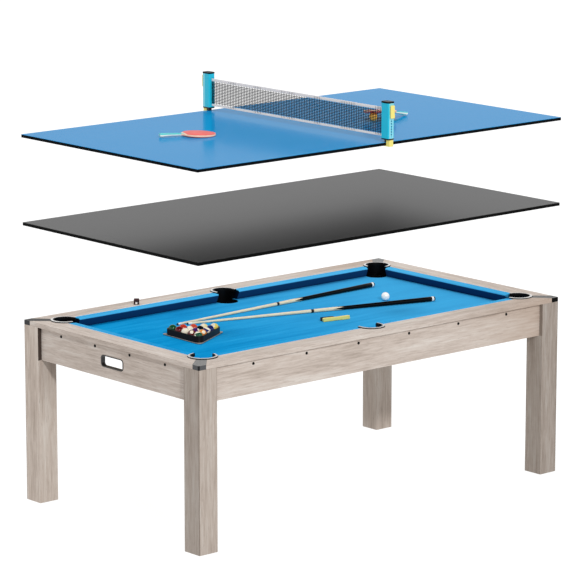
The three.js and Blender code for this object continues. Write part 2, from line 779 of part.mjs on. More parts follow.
// A flat lattice: every odd column and row is open where they cross, and all else is strand
function lattice(columns, rows, half) {
  const across = columns.length;
  const corner = (i, j, level) => (level * rows.length + j) * across + i;
  const positions = [-half, half].flatMap((y) => rows.flatMap((z) => columns.flatMap((x) => [x, y, z])));
  const inside = (i, j) => i >= 0 && j >= 0 && i < across - 1 && j < rows.length - 1;
  const filled = (i, j) => inside(i, j) && !(i % 2 === 1 && j % 2 === 1);
  const index = [];
  const quad = (a, b, c, d) => index.push(a, b, c, a, c, d);
  for (let j = 0; j < rows.length - 1; j += 1) {
    for (let i = 0; i < across - 1; i += 1) {
      if (!filled(i, j)) continue;
      const ring = [[i, j], [i + 1, j], [i + 1, j + 1], [i, j + 1]];
      const beside = [[i, j - 1], [i + 1, j], [i, j + 1], [i - 1, j]];
      quad(...ring.map(([x, z]) => corner(x, z, 0)));
      quad(...ring.toReversed().map(([x, z]) => corner(x, z, 1)));
      beside.forEach((next, k) => {
        if (filled(...next)) return;
        const [from, to] = [ring[k], ring[(k + 1) % 4]];
        quad(corner(...to, 0), corner(...from, 0), corner(...from, 1), corner(...to, 1));
      });
    }
  }
  const geometry = new THREE.BufferGeometry();
  geometry.setAttribute('position', new THREE.Float32BufferAttribute(positions, 3));
  geometry.setIndex(index);
  geometry.computeVertexNormals();
  return geometry;
}

// Grid lines of a lattice: an edge, then both sides of each strand, then the other edge
function gridLines(from, start, pitch, count, strand, to) {
  const lines = [from];
  for (let i = 0; i < count; i += 1) {
    lines.push(start + i * pitch + strand / 2, start + (i + 1) * pitch - strand / 2);
  }
  return [...lines, to];
}

// Net: one flat sheet of strands between a top and a bottom tape, from the reel to the back post
function net() {
  const front = reelY + reelRadius + seatGap - halfWidth;
  const back = halfWidth - housingInner + housingWall + netSlot / 2;
  const firstGap = housingInner + netTape / 2 - halfWidth;
  const pitchAlong = (-2 * firstGap) / netGapsAlong;
  const pitchUp = (netHeight - 2 * netTape) / netGapsUp;
  const columns = gridLines(front, firstGap, pitchAlong, netGapsAlong, netStrand, back);
  const rows = gridLines(netFoot, netFoot + netTape, pitchUp, netGapsUp, netStrand, netFoot + netHeight);
  return lattice(columns, rows, netStrand / 2).rotateZ(Math.PI / 2).translate(0, 0, tennisTop);
}
add('net', net(), netBlack());

// Paddles: origin at the middle of the blade, handle along X
function bladeOutline() {
  const start = Math.asin(bladeShoulder / bladeWidth);
  const round = arc(0, 0, 1, start, 2 * Math.PI - start, 2 * fineArcSteps)
    .map((p) => point((p.x * bladeLength) / 2, (p.y * bladeWidth) / 2));
  const neck = bladeLength / 2 + handleWidth / 4;
  return [point(neck, handleWidth / 2), ...round, point(neck, -handleWidth / 2)];
}

const bladeHalf = bladeThickness / 2;
const handleHalf = handleThickness / 2;
const handleStart = bladeLength / 2 + handleWidth / 4 + seatGap;
const handleEnd = bladeLength / 2 + handleLength;
function paddle(name, turn, parent) {
  const group = new THREE.Group();
  group.rotation.z = turn;
  parent.add(group);
  add(`${name}_blade`, slab(bladeOutline(), -bladeHalf, bladeHalf), redRubber(), group);
  const length = handleEnd - handleStart;
  const side = roundedRectangle(length, handleThickness, handleThickness / 4, cornerArcSteps);
  const grip = slab(side, -handleWidth / 2, handleWidth / 2);
  grip.rotateX(Math.PI / 2).translate((handleStart + handleEnd) / 2, 0, 0);
  add(`${name}_handle`, grip, turquoise(), group);
}

function onTennisBoard([shareX, shareY], turn) {
  const group = new THREE.Group();
  group.position.set(shareX * tableLength, shareY * tableWidth, tennisTop + seatGap);
  group.rotation.z = turn;
  table.add(group);
  return group;
}

// The lying paddle rests on the far edge of its blade and on the near end of its handle
const lyingGroup = onTennisBoard(lyingPlaceShares, lyingTurn);
const lying = new THREE.Group();
const lyingSlope = Math.atan2(handleHalf - bladeHalf, bladeLength / 2 + handleStart);
lying.rotation.y = -lyingSlope;
lying.position.z = bladeHalf * Math.cos(lyingSlope) + (bladeLength / 2) * Math.sin(lyingSlope);
lyingGroup.add(lying);
paddle('paddle_a', 0, lying);

// The leaning paddle rests on two balls and on the end of its handle, away from the front
const tennisBallRadius = tennisBallDiameter / 2;
const leaningGroup = onTennisBoard(ballPlaceShares, leaningTurn);
for (const [name, x] of [['tennis_ball_a', 0], ['tennis_ball_b', ballSpacing]]) {
  const tennisBall = ball(tennisBallRadius).translate(x, 0, tennisBallRadius);
  add(name, tennisBall, celluloid(), leaningGroup);
}
const lift = tennisBallRadius + bladeHalf + seatGap;
const handleDrop = handleHalf * Math.cos(leaningTilt)
  + (handleWidth / 2) * Math.cos(leaningHandleTurn) * Math.sin(leaningTilt);
const fall = tennisBallRadius + lift * Math.cos(leaningTilt) - handleDrop;
const setback = fall / Math.sin(leaningTilt) - handleEnd * Math.sin(leaningHandleTurn);
const leaning = new THREE.Group();
leaning.rotation.x = -leaningTilt;
leaning.position.set(
  leaningAcross,
  lift * Math.sin(leaningTilt) + setback * Math.cos(leaningTilt),
  tennisBallRadius + lift * Math.cos(leaningTilt) - setback * Math.sin(leaningTilt));
leaningGroup.add(leaning);
paddle('paddle_b', leaningHandleTurn, leaning);

export default table;
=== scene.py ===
import math
import bmesh
import bpy
import numpy as np
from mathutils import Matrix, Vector


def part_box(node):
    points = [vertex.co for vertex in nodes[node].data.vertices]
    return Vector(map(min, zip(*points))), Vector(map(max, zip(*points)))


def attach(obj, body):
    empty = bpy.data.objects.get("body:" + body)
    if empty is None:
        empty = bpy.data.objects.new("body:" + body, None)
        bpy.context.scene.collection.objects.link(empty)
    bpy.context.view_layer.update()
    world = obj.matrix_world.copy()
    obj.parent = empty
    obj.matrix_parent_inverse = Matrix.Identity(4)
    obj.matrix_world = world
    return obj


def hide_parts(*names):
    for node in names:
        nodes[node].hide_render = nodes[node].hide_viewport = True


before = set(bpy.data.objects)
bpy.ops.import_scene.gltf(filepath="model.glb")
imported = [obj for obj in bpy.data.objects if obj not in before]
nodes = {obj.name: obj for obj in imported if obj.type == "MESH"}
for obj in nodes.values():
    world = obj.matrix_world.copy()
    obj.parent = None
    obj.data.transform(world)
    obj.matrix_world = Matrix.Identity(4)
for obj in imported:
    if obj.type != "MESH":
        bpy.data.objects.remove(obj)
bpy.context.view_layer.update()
scene = bpy.context.scene
mm = 0.001  # shapes are worked out in millimetres, as in the CAD
print("frame loaded")

# The whole table, with X along it, Y across it and Z up
tableTop = {"length": 2100, "width": 1194, "height": 810, "bed": 766, "gap": 0.3}
halfLength = tableTop["length"] / 2
halfWidth = tableTop["width"] / 2
bedSeat = tableTop["bed"] + tableTop["gap"]
ends = ("front_left", "front_right", "back_right", "back_left")


# Linear colour of a web colour: c/12.92 when dark, else ((c + 0.055)/1.055) to the power 2.4
def colour(web):
    parts = np.array([int(web[k:k + 2], 16) for k in (1, 3, 5)]) / 255
    linear = np.where(parts < 0.04045, parts / 12.92, ((parts + 0.055) / 1.055) ** 2.4)
    return (*linear.tolist(), 1.0)


# One socket in a node tree. Sums, products and comparisons add Math nodes.
class Wire:
    def __init__(self, finish, socket):
        self.finish = finish
        self.socket = socket

    def math(self, operation, other=0.0):
        return self.finish.node("ShaderNodeMath", {"operation": operation}, {0: self, 1: other})

    def __add__(self, other):
        return self.math("ADD", other)

    def __sub__(self, other):
        return self.math("SUBTRACT", other)

    def reflected(self, operation, other):
        return self.finish.node("ShaderNodeMath", {"operation": operation}, {0: other, 1: self})

    def __rsub__(self, other):
        return self.reflected("SUBTRACT", other)

    def __mul__(self, other):
        return self.math("MULTIPLY", other)

    def __truediv__(self, other):
        return self.math("DIVIDE", other)

    def __rtruediv__(self, other):
        return self.reflected("DIVIDE", other)

    def __gt__(self, other):
        return self.math("GREATER_THAN", other)

    def __lt__(self, other):
        return self.math("LESS_THAN", other)

    def __or__(self, other):
        return self.math("MAXIMUM", other)

    def __abs__(self):
        return self.math("ABSOLUTE")

    __radd__ = __add__
    __rmul__ = __mul__
    __ror__ = __or__


# The node tree of a material or of the world. Every node but the Math nodes is made by node().
class Finish:
    def __init__(self, owner):
        owner.use_nodes = True
        self.owner = owner
        self.tree = owner.node_tree
        self.tree.nodes.clear()

    def node(self, kind, settings=None, sockets=None, out=0):
        made = self.tree.nodes.new(kind)
        for key, value in (settings or {}).items():
            if key == "stops":
                for spare in value[2:]:
                    made.color_ramp.elements.new(spare[0])
                for element, (at, tint) in zip(made.color_ramp.elements, value):
                    element.position = at
                    element.color = tint
            else:
                setattr(made, key, value)
        for key, value in (sockets or {}).items():
            if isinstance(value, Wire):
                self.tree.links.new(value.socket, made.inputs[key])
            else:
                made.inputs[key].default_value = value
        return Wire(self, made.outputs[out]) if made.outputs else made

    def place(self, scale=(1, 1, 1), turn=(0, 0, 0)):
        point = self.node("ShaderNodeTexCoord", out=3)
        return self.node("ShaderNodeMapping", {}, {"Vector": point, "Scale": scale, "Rotation": turn})

    def parts(self, vector):
        made = self.node("ShaderNodeSeparateXYZ", {}, {0: vector})
        return [Wire(self, s) for s in made.socket.node.outputs]

    def uv(self):
        return self.parts(self.node("ShaderNodeTexCoord", out=2))

    def attribute(self, name, out=2):
        return self.node("ShaderNodeAttribute", {"attribute_name": name}, {}, out)

    def noise(self, vector, scale, detail=2.0, roughness=0.5, distortion=0.0):
        values = {"Vector": vector, "Scale": scale, "Detail": detail,
                  "Roughness": roughness, "Distortion": distortion}
        return self.node("ShaderNodeTexNoise", {}, values)

    def ramp(self, value, *stops):
        return self.node("ShaderNodeValToRGB", {"stops": stops}, {0: value})

    def step(self, value, low, high):
        values = {"Value": value, "From Min": low, "From Max": high}
        return self.node("ShaderNodeMapRange", {"interpolation_type": "SMOOTHSTEP"}, values)

    def mix(self, factor, first, second, blend="MIX"):
        settings = {"data_type": "RGBA", "blend_type": blend}
        return self.node("ShaderNodeMix", settings, {0: factor, 6: first, 7: second}, 2)

    def bump(self, height, distance, strength=1.0):
        values = {"Height": height, "Distance": distance, "Strength": strength}
        return self.node("ShaderNodeBump", {}, values)

    def shade(self, **sockets):
        named = {key.replace("_", " "): value for key, value in sockets.items()}
        surface = self.node("ShaderNodeBsdfPrincipled", {}, named)
        self.node("ShaderNodeOutputMaterial", {}, {"Surface": surface})
        return self.owner


def newFinish(name):
    return Finish(bpy.data.materials.new(name))


# 1 where a value lies between two limits, else 0
def inBand(value, limits):
    return (value > limits[0]) * (value < limits[1])


# Matrix of a turn about one axis, by degrees
def turn(axis, degrees):
    c, s = math.cos(math.radians(degrees)), math.sin(math.radians(degrees))
    return np.array({"X": [[1, 0, 0], [0, c, -s], [0, s, c]],
                     "Y": [[c, 0, s], [0, 1, 0], [-s, 0, c]],
                     "Z": [[c, -s, 0], [s, c, 0], [0, 0, 1]]}[axis])


# Points turned by a matrix, then moved to a place
def placed(points, matrix, at):
    return points @ matrix.T + np.array(at, float)


# Grids of points, a patch of rows by columns each, become quads between neighbours. A closed
# direction also joins its last line to its first, and caps fill a closed direction's two ends.
# U of the surface map comes from columnsAt and V from rowsAt, one value a line.
def gridMesh(name, points, closed=(False, False), capped=False, rowsAt=None, columnsAt=None, **layers):
    points = points if points.ndim == 4 else points[None]
    patches, rows, columns = points.shape[:3]
    lastRow, lastColumn = rows - (not closed[0]), columns - (not closed[1])
    v = np.arange(lastRow + 1) / lastRow if rowsAt is None else np.asarray(rowsAt, float)
    u = np.arange(lastColumn + 1) / lastColumn if columnsAt is None else np.asarray(columnsAt, float)
    p, i, j = (a.ravel() for a in np.meshgrid(
        np.arange(patches), np.arange(lastRow), np.arange(lastColumn), indexing="ij"))

    def corner(a, b):
        return (p * rows + a % rows) * columns + b % columns

    faces = np.stack([corner(i, j), corner(i, j + 1), corner(i + 1, j + 1), corner(i + 1, j)], 1).tolist()
    maps = [np.stack([u[j], v[i], u[j + 1], v[i], u[j + 1], v[i + 1], u[j], v[i + 1]], 1).ravel()]
    if capped:
        for patch in range(patches):
            first = np.arange(columns) + patch * rows * columns
            faces += [first[::-1].tolist(), (first + (rows - 1) * columns).tolist()]
            maps.append(np.stack([u[:columns][::-1], np.full(columns, v[0])], 1).ravel())
            maps.append(np.stack([u[:columns], np.full(columns, v[-1])], 1).ravel())
    mesh = bpy.data.meshes.new(name)
    mesh.from_pydata((points.reshape(-1, 3) * mm).tolist(), [], faces)
    mesh.uv_layers.new(name="surface").data.foreach_set("uv", np.concatenate(maps))
    for key, values in layers.items():
        kind = {1: "FLOAT", 3: "FLOAT_VECTOR", 4: "FLOAT_COLOR"}[values.shape[-1]]
        field = {1: "value", 3: "vector", 4: "color"}[values.shape[-1]]
        spread = np.broadcast_to(values, (*points.shape[:3], values.shape[-1]))
        layer = mesh.attributes.new(key, kind, "POINT")
        layer.data.foreach_set(field, spread.astype(np.float32).ravel())
    return mesh


# One object from several meshes, each with its own material, closed, with its faces outwards
def addPiece(name, meshes, materials, body, replaced=(), sharp=40):
    shape = bmesh.new()
    for index, mesh in enumerate(meshes):
        which = min(index, len(materials) - 1)
        mesh.polygons.foreach_set("material_index", np.full(len(mesh.polygons), which))
        shape.from_mesh(mesh)
    bmesh.ops.remove_doubles(shape, verts=shape.verts, dist=1e-6)
    bmesh.ops.recalc_face_normals(shape, faces=shape.faces)
    mesh = bpy.data.meshes.new(name)
    shape.to_mesh(mesh)
    shape.free()
    for material in materials:
        mesh.materials.append(material)
    mesh.shade_smooth()
    mesh.set_sharp_from_angle(angle=math.radians(sharp))
    piece = bpy.data.objects.new(name, mesh)
    scene.collection.objects.link(piece)
    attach(piece, body)
    if replaced:
        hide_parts(*replaced)
    return piece


# Corner arcs in turn, each about its own centre: centre + radius · (cos a, sin a)
def arcs(centres, radius, angles):
    a = np.radians(np.asarray(angles, float))[..., None]
    offsets = np.concatenate([np.cos(a), np.sin(a)], -1) * radius
    return (np.asarray(centres, float)[:, None, :] + offsets).reshape(-1, 2)


# Rounded triangle with one point along X; reach is from the middle to the centre of a corner's arc
def roundedTriangle(reach, radius, steps=10):
    ways = np.array([0.0, 120.0, 240.0])
    centres = reach * np.stack([np.cos(np.radians(ways)), np.sin(np.radians(ways))], 1)
    return arcs(centres, radius, ways[:, None] + np.linspace(-60, 60, steps))


# Rounded rectangle about the origin, by its half sizes
def roundedRectangle(halfX, halfY, radius, steps=5):
    centres = np.array([[1, 1], [-1, 1], [-1, -1], [1, -1]]) * [halfX - radius, halfY - radius]
    return arcs(centres, radius, np.array([[0], [90], [180], [270]]) + np.linspace(0, 90, steps))


# Loops at their heights, stacked as the rows of a grid
def stacked(*levels):
    return np.stack([np.column_stack([loop, np.full(len(loop), z)]) for loop, z in levels])


# Profile of (radius, height) turned round Z: (r cos a, r sin a, z)
def lathe(profile, sides=32):
    r, z = np.array(profile, float).T
    a = np.arange(sides) * 2 * np.pi / sides
    return np.stack([np.outer(r, np.cos(a)), np.outer(r, np.sin(a)), np.repeat(z[:, None], sides, 1)], -1)


# Sphere by latitude and longitude: r (cos b cos a, cos b sin a, sin b)
def sphere(radius, rows=17, columns=32):
    b = np.linspace(-np.pi / 2, np.pi / 2, rows)
    return lathe(np.stack([radius * np.cos(b), radius * np.sin(b)], 1), columns)


# Section of (share, height) carried between two paths: outer + (inner - outer) · share
def between(outer, inner, section):
    share, z = np.array(section, float).T
    flat = outer[:, None, :] + (inner - outer)[:, None, :] * share[None, :, None]
    return np.concatenate([flat, np.broadcast_to(z[None, :, None], (*flat.shape[:2], 1))], -1)


# Greyed oak foil: broad bands, fibres and short dark pores, all drawn out along the grain
oakLook = {"dark": "#ad9f94", "middle": "#cdc0b6", "light": "#dfd7cf", "pore": "#7a6b60", "stretch": 13.0,
           "drift": (1.0, 1.7, 2.3), "broad": 1.3, "fibre": 9.0, "pores": 26.0}
# Legs, in metres from the table's sides or the floor: a painted shade tone each for the X and Y faces of every
# leg, painted shade high on the inner faces, painted shadow in the recesses beside the aprons, and dark lines
# along the outer corner
legLook = {"inner": 0.0972, "face": 0.0008, "recess": 0.0183, "apron": 0.643, "joint": 0.0026,
           "shade": (0.3, 0.66), "shadeTone": "#6f6057", "endRecessShadow": "#2a1d17", "sideRecessShadow": "#5a4a3e",
           "jointLine": "#54473d", "faceShadeTones": ((0.67, 0.8), (0.62, 0.6), (0.83, 0.84), (1.0, 0.87))}
# Rails: a painted highlight along the inner edge, a painted shadow under the rails along the aprons' tops, and
# painted shade darkening the right end of the long ones
railLook = {"edge": (0.0944, 0.0974), "top": 0.8085, "gap": (0.7862, 0.7899), "rightEndShadeAlong": (0.3, 1.05),
            "edgeHighlight": "#f6f1ec", "gapShadow": "#4d3f35", "rightEndShade": "#a88f7b"}


# Painted shade and dark corner line of one leg. Out is the way in from the table's end (X) or side (Y).
def legTones(f, wood, outX, outY, z, faceShadeTones):
    innerX, innerY = outX > legLook["inner"], outY > legLook["inner"]
    faceShades = [(t, t * 0.985, t * 0.965, 1) for t in faceShadeTones]
    facesY = (outY < legLook["face"]) | innerY
    # each face takes its leg's painted shade tone for X faces or Y faces
    wood = f.mix(1.0, wood, f.mix(facesY, faceShades[0], faceShades[1]), "MULTIPLY")
    shade = innerY * (outX > legLook["face"]) * f.step(z, *legLook["shade"])
    wood = f.mix(shade * 0.3, wood, colour(legLook["shadeTone"]))
    high = z > legLook["apron"]
    # painted shadow in the recesses beside the end and side aprons
    wood = f.mix(innerY * (outX < legLook["recess"]) * high * 0.93, wood, colour(legLook["endRecessShadow"]))
    wood = f.mix(innerX * (outY < legLook["recess"]) * high * 0.5, wood, colour(legLook["sideRecessShadow"]))
    joint = (outX < legLook["joint"]) * (outY < legLook["joint"])
    return f.mix(joint * 0.6, wood, colour(legLook["jointLine"]))


# Painted light and shade of the rails and aprons along X or Y
def railTones(f, wood, outX, outY, x, z, along):
    # painted highlight along the rails' inner top edge
    edge = inBand(outX if along == "Y" else outY, railLook["edge"]) * (z > railLook["top"])
    wood = f.mix(edge * 0.7, wood, colour(railLook["edgeHighlight"]))
    # painted shade darkening the long rails and aprons towards the right end
    if along == "X":
        wood = f.mix(f.step(x, *railLook["rightEndShadeAlong"]) * 0.5, wood, colour(railLook["rightEndShade"]))
    # painted shadow under the rails, along the top of the aprons
    return f.mix(inBand(z, railLook["gap"]) * 0.75, wood, colour(railLook["gapShadow"]))


def oak(name, along, shift, faceShadeTones=None):
    f = newFinish(name)
    scale = [1.0 if axis == along else oakLook["stretch"] for axis in "XYZ"]
    moved = {"Vector": f.place(scale), "Location": [shift * share for share in oakLook["drift"]]}
    grain = f.node("ShaderNodeMapping", {}, moved)
    broad = f.noise(grain, oakLook["broad"], 3.0, 0.5, 0.25)
    fibre = f.noise(grain, oakLook["fibre"], 5.0, 0.65, 0.1)
    pores = f.step(f.noise(grain, oakLook["pores"], 2.0, 0.5), 0.62, 0.72)
    tone = broad * 0.58 + fibre * 0.64 - 0.115
    wood = f.ramp(tone, (0.3, colour(oakLook["dark"])), (0.5, colour(oakLook["middle"])),
                  (0.68, colour(oakLook["light"])))
    wood = f.mix(pores * 0.3, wood, colour(oakLook["pore"]))
    x, y, z = f.parts(f.place())
    outX, outY = abs(x) * -1 + halfLength * mm, abs(y) * -1 + halfWidth * mm
    if faceShadeTones:
        wood = legTones(f, wood, outX, outY, z, faceShadeTones)
    else:
        wood = railTones(f, wood, outX, outY, x, z, along)
    return f.shade(Base_Color=wood, Roughness=0.55 + fibre * 0.15,
                   Normal=f.bump(fibre - pores * 0.5, 0.0004, 0.35), Specular_IOR_Level=0.12)


oakLong = oak("oakLong", "X", 0.0)
oakEnd = oak("oakEnd", "Y", 3.1)
oakLegs = {end: oak(f"oakLeg_{end}", "Z", 7.4 + k, legLook["faceShadeTones"][k]) for k, end in enumerate(ends)}

# Playing cloth: a fine weave, streaks along the bed and a soft nap. In metres: where a painted sheen sets in
# along X, where a painted sheen on the cushions' tops grows along Y, and from where they are the far ones.
clothLook = {"deep": "#0082c2", "plain": "#0493d3", "pale": "#18a4e0", "paintedSheen": "#50b4e8", "top": "#5cc0f0",
             "under": "#001b4a", "facing": "#00050e", "weave": 900.0, "paintedSheenAlong": (-0.9, 0.9),
             "topSheenAcross": (-0.3, 0.5), "far": 0.2}


# On cushions U marks the side below the nose and V the facings, both given painted shadow tones
def cloth(name, cushions=False):
    f = newFinish(name)
    plain = f.place()
    streak = f.noise(f.place((1.2, 9.0, 9.0)), 1.6, 4.0, 0.6, 0.4)
    nap = f.noise(plain, 160.0, 3.0, 0.6)
    tone = streak * 0.7 + nap * 0.3
    blue = f.ramp(tone, (0.3, colour(clothLook["deep"])), (0.5, colour(clothLook["plain"])),
                  (0.7, colour(clothLook["pale"])))
    x, y, _ = f.parts(plain)
    # painted sheen lightening the cloth towards +X
    paintedSheen = f.step(x + (streak - 0.5) * 0.8, *clothLook["paintedSheenAlong"]) * 0.6
    blue = f.mix(paintedSheen, blue, colour(clothLook["paintedSheen"]))
    if cushions:
        under, facing, _ = f.uv()
        far = y > clothLook["far"]
        # painted sheen on the cushions' tops, stronger towards the far side
        top = f.mix(f.step(y, *clothLook["topSheenAcross"]) * 0.42 + 0.1, blue, colour(clothLook["top"]))
        # painted shade under the nose and on the facings, darkest on the far facings
        blue = f.mix(under * 0.92 | facing * (far * 0.57 + 0.35), top, colour(clothLook["under"]))
        blue = f.mix(facing * far * 0.9, blue, colour(clothLook["facing"]))
    threads = (x * clothLook["weave"] * 6.28).math("SINE") * (y * clothLook["weave"] * 6.28).math("SINE")
    return f.shade(Base_Color=blue, Roughness=0.92, Normal=f.bump(threads * 0.4 + nap, 0.0002, 0.4),
                   Specular_IOR_Level=0.02)


bedCloth = cloth("bedCloth")
cushionCloth = cloth("cushionCloth", cushions=True)


# Moulded plastic with a faint grain
def plastic(name, web, roughness=0.4, grain=700.0, depth=0.00008, level=0.5):
    f = newFinish(name)
    speckle = f.noise(f.place(), grain, 2.0, 0.5)
    cloudy = f.noise(f.place(), 14.0, 2.0, 0.5)
    plain = colour(web)
    paler = (*(min(1, c * 1.25 + 0.004) for c in plain[:3]), 1)
    return f.shade(Base_Color=f.mix(cloudy * 0.2, plain, paler), Roughness=roughness + (cloudy - 0.5) * 0.12,
                   Normal=f.bump(speckle, depth, 0.5), Specular_IOR_Level=level)


blackPlastic = plastic("blackPlastic", "#050506", 0.35, level=0.08)
windowPlastic = plastic("windowPlastic", "#111214", 0.3)
boltSteel = plastic("boltSteel", "#050505", 0.4, level=0.15)
yellow = plastic("yellowPlastic", "#f6e67c", 0.38)
ballCream = plastic("ballCream", "#fdfcf8", 0.12, 300.0, 0.00001, 0.3)

# Satin corner caps: a speckled skirt and a top plate with a painted highlight tone, which sets in between two
# depths below the table's top. Each cap's skirt and plate tones are painted light and shade on one material.
# The near cap is dark down its corner, from a distance to the table's own corner.
capLook = {"plateDepths": (0.8, 0.4), "speckle": 420.0, "cornerTone": "#101112", "plateLight": "#8e8d8c"}


def cap(name, skirt, wornAndHighlit, litPlate, corner=None):
    f = newFinish(name)
    speckle = f.noise(f.place(), capLook["speckle"], 3.0, 0.7)
    x, y, z = f.parts(f.place())
    base = f.mix(speckle * 0.6, colour(skirt), colour(wornAndHighlit))
    if corner:
        dark = (abs(x) + abs(y) - (halfLength + halfWidth) * mm) > corner
        base = f.mix(dark * 0.85, base, colour(capLook["cornerTone"]))
    onTop = f.step(z, *((tableTop["height"] - depth) * mm for depth in capLook["plateDepths"]))
    # the top plate gets its painted highlight tone
    base = f.mix(onTop, base, f.mix(speckle * 0.4, colour(litPlate), colour(capLook["plateLight"])))
    return f.shade(Base_Color=base, Roughness=0.5 + (speckle - 0.5) * 0.1, Specular_IOR_Level=0.03,
                   Normal=f.bump(speckle, 0.0001, 0.3))


# skirt and plate tones per cap are painted light and shade
capMetals = {"front_left": cap("capNear", "#4b4c4e", "#77787a", "#8c8b8a", -0.0065),
             "front_right": cap("capRight", "#030303", "#171615", "#6d6c6b"),
             "back_right": cap("capFar", "#5a5b5c", "#77787a", "#8c8b8a"),
             "back_left": cap("capLeft", "#38383a", "#5f5f60", "#3f3d3b")}

# Net posts, in metres: turquoise, with a painted highlight on the outer faces and on the far post, a black
# lower edge and dark marks in their notches
post = {"outer": 0.6178, "far": 0.6, "black": 1.6448, "notch": 1.6617, "pitch": 0.011714, "last": 1.7235,
        "lead": 0.004, "markFrom": 0.6155, "markHalf": 0.0034, "markShare": 0.29}
f = newFinish("turquoisePlastic")
x, y, z = f.parts(f.place())
cloudy = f.noise(f.place(), 14.0, 2.0, 0.5)
fine = f.noise(f.place(), 700.0, 2.0, 0.5)
tint = f.mix(cloudy * 0.3, colour("#06bcdc"), colour("#16c6e4"))
# painted highlight on the posts' outer faces
tint = f.mix((abs(y) > post["outer"]) * 0.55, tint, colour("#b4f2fa"))
# painted highlight on the far post
tint = f.mix((y > post["far"]) * 0.5, tint, colour("#a8eaf4"))
phase = ((z - post["notch"]) / post["pitch"] + 0.5).math("FRACT") - 0.5
notched = (abs(phase) < post["markShare"]) * (z > post["notch"] - post["lead"]) * (z < post["last"])
marked = notched * (abs(x) < post["markHalf"]) * (abs(y) > post["markFrom"])
tint = f.mix(marked, tint, colour("#08799b"))
tint = f.mix(z < post["black"], tint, colour("#08090a"))
turquoise = f.shade(Base_Color=tint, Roughness=0.34 + (cloudy - 0.5) * 0.1,
                    Normal=f.bump(fine, 0.00006, 0.4), Specular_IOR_Level=0.4)

# Unfinished board of the bed and its beams
f = newFinish("rawBoard")
chips = f.noise(f.place(), 90.0, 5.0, 0.7)
rawBoard = f.shade(Base_Color=f.ramp(chips, (0.3, colour("#8a7c68")), (0.7, colour("#ab9b84"))),
                   Roughness=0.85, Normal=f.bump(chips, 0.0004, 0.4))


# Film of the two boards: a soft haze over the face and a fine grain
def boardFilm(name):
    f = newFinish(name)
    haze = f.noise(f.place((1.0, 2.0, 1.0)), 2.2, 2.0, 0.5)
    grain = f.bump(f.noise(f.place(), 500.0, 2.0, 0.5), 0.00003, 0.3)
    return f, f.parts(f.place()), haze, grain


# Table tennis board: blue lacquer on its face, black on its edges and underside
tennisLook = {"blue": "#0a8ccb", "pale": "#1c94d3", "edge": "#0c0f13", "faceFrom": (1.6268, 1.6271)}
f, (x, y, z), haze, grain = boardFilm("blueLacquer")
face = f.step(z, *tennisLook["faceFrom"])
lacquer = f.mix(haze * 0.35, colour(tennisLook["blue"]), colour(tennisLook["pale"]))
tennisBlue = f.shade(Base_Color=f.mix(face, colour(tennisLook["edge"]), lacquer),
                     Roughness=0.14 + (1 - face) * 0.25, Specular_IOR_Level=0.009, Normal=grain)

# Dining board: charcoal film whose satin coat is painted thinner towards the front left, a painted darkening
# of its reflection there
diningLook = {"dark": "#0a0a0a", "pale": "#121212", "faceFrom": 1.2405, "sheenAcross": (-0.66, 0.06),
              "sheenAlong": (-0.1, 0.55)}
f, (x, y, z), haze, grain = boardFilm("charcoalLaminate")
# painted sheen: the coat fades towards the front left
sheen = f.step(y + (haze - 0.5) * 0.06, *diningLook["sheenAcross"]) | f.step(x, *diningLook["sheenAlong"])
charcoal = f.shade(Base_Color=f.mix(haze * 0.5, colour(diningLook["dark"]), colour(diningLook["pale"])),
                   Roughness=0.4, Specular_IOR_Level=0.02, Coat_Roughness=0.36, Normal=grain,
                   Coat_Weight=(sheen * 0.5 + 0.12) * (z > diningLook["faceFrom"]))


# CAD parts that keep their shape get clean faces and eased edges
def ease(node, material, width=0.8):
    part = nodes[node]
    part.data.materials.clear()
    part.data.materials.append(material)
    weld = part.modifiers.new("weld", "WELD")
    weld.merge_threshold = 1e-5
    flat = part.modifiers.new("flat", "DECIMATE")
    flat.decimate_type = "DISSOLVE"
    flat.angle_limit = math.radians(1)
    edge = part.modifiers.new("edge", "BEVEL")
    edge.width = width * mm
    edge.segments = 2
    edge.limit_method = "ANGLE"
    edge.angle_limit = math.radians(40)


for end in ends:
    ease(f"leg_{end}", oakLegs[end], 1.0)
    ease(f"corner_cap_{end}", capMetals[end], 0.5)
for side, wood in (("front", oakLong), ("back", oakLong), ("left", oakEnd), ("right", oakEnd)):
    ease(f"rail_{side}", wood, 1.0)
    ease(f"apron_{side}", wood, 0.8)
ease("window_frame", windowPlastic, 0.6)
for node in ("bed_board", "bed_beam_left", "bed_beam_right"):
    ease(node, rawBoard, 0.5)
ease("dining_board", charcoal, 0.7)
ease("tennis_board", tennisBlue, 0.7)
ease("net_reel", blackPlastic, 0.3)
for side in ("front", "back"):
    ease(f"net_housing_{side}", turquoise, 0.5)
    ease(f"net_cap_{side}", blackPlastic, 0.8)
    ease(f"net_jaw_{side}", yellow, 0.6)
    ease(f"net_button_{side}", yellow, 0.8)
for board in ("dining_board", "tennis_board"):  # the lifted boards don't darken what lies below
    nodes[board].visible_shadow = False
    nodes[board].visible_diffuse = False
print("CAD parts finished")

# Bed cloth: a grid whose points inside a pocket's hole slide out to its rim
bed = {"edgeX": 1013.7, "edgeY": 560.7, "notchX": 951.7, "notchY": 498.7, "pitch": 9.0, "edgeLines": 8,
       "hole": 52.5, "cornerX": 908.15, "cornerY": 455.15, "sideY": 473.0, "thick": 1.0}


# Grid lines through an edge, a notch and their mirror images
def bedLines(edge, notch):
    outer = np.linspace(notch, edge, bed["edgeLines"])[1:]
    return np.concatenate([-outer[::-1], np.linspace(-notch, notch, int(2 * notch / bed["pitch"])), outer])


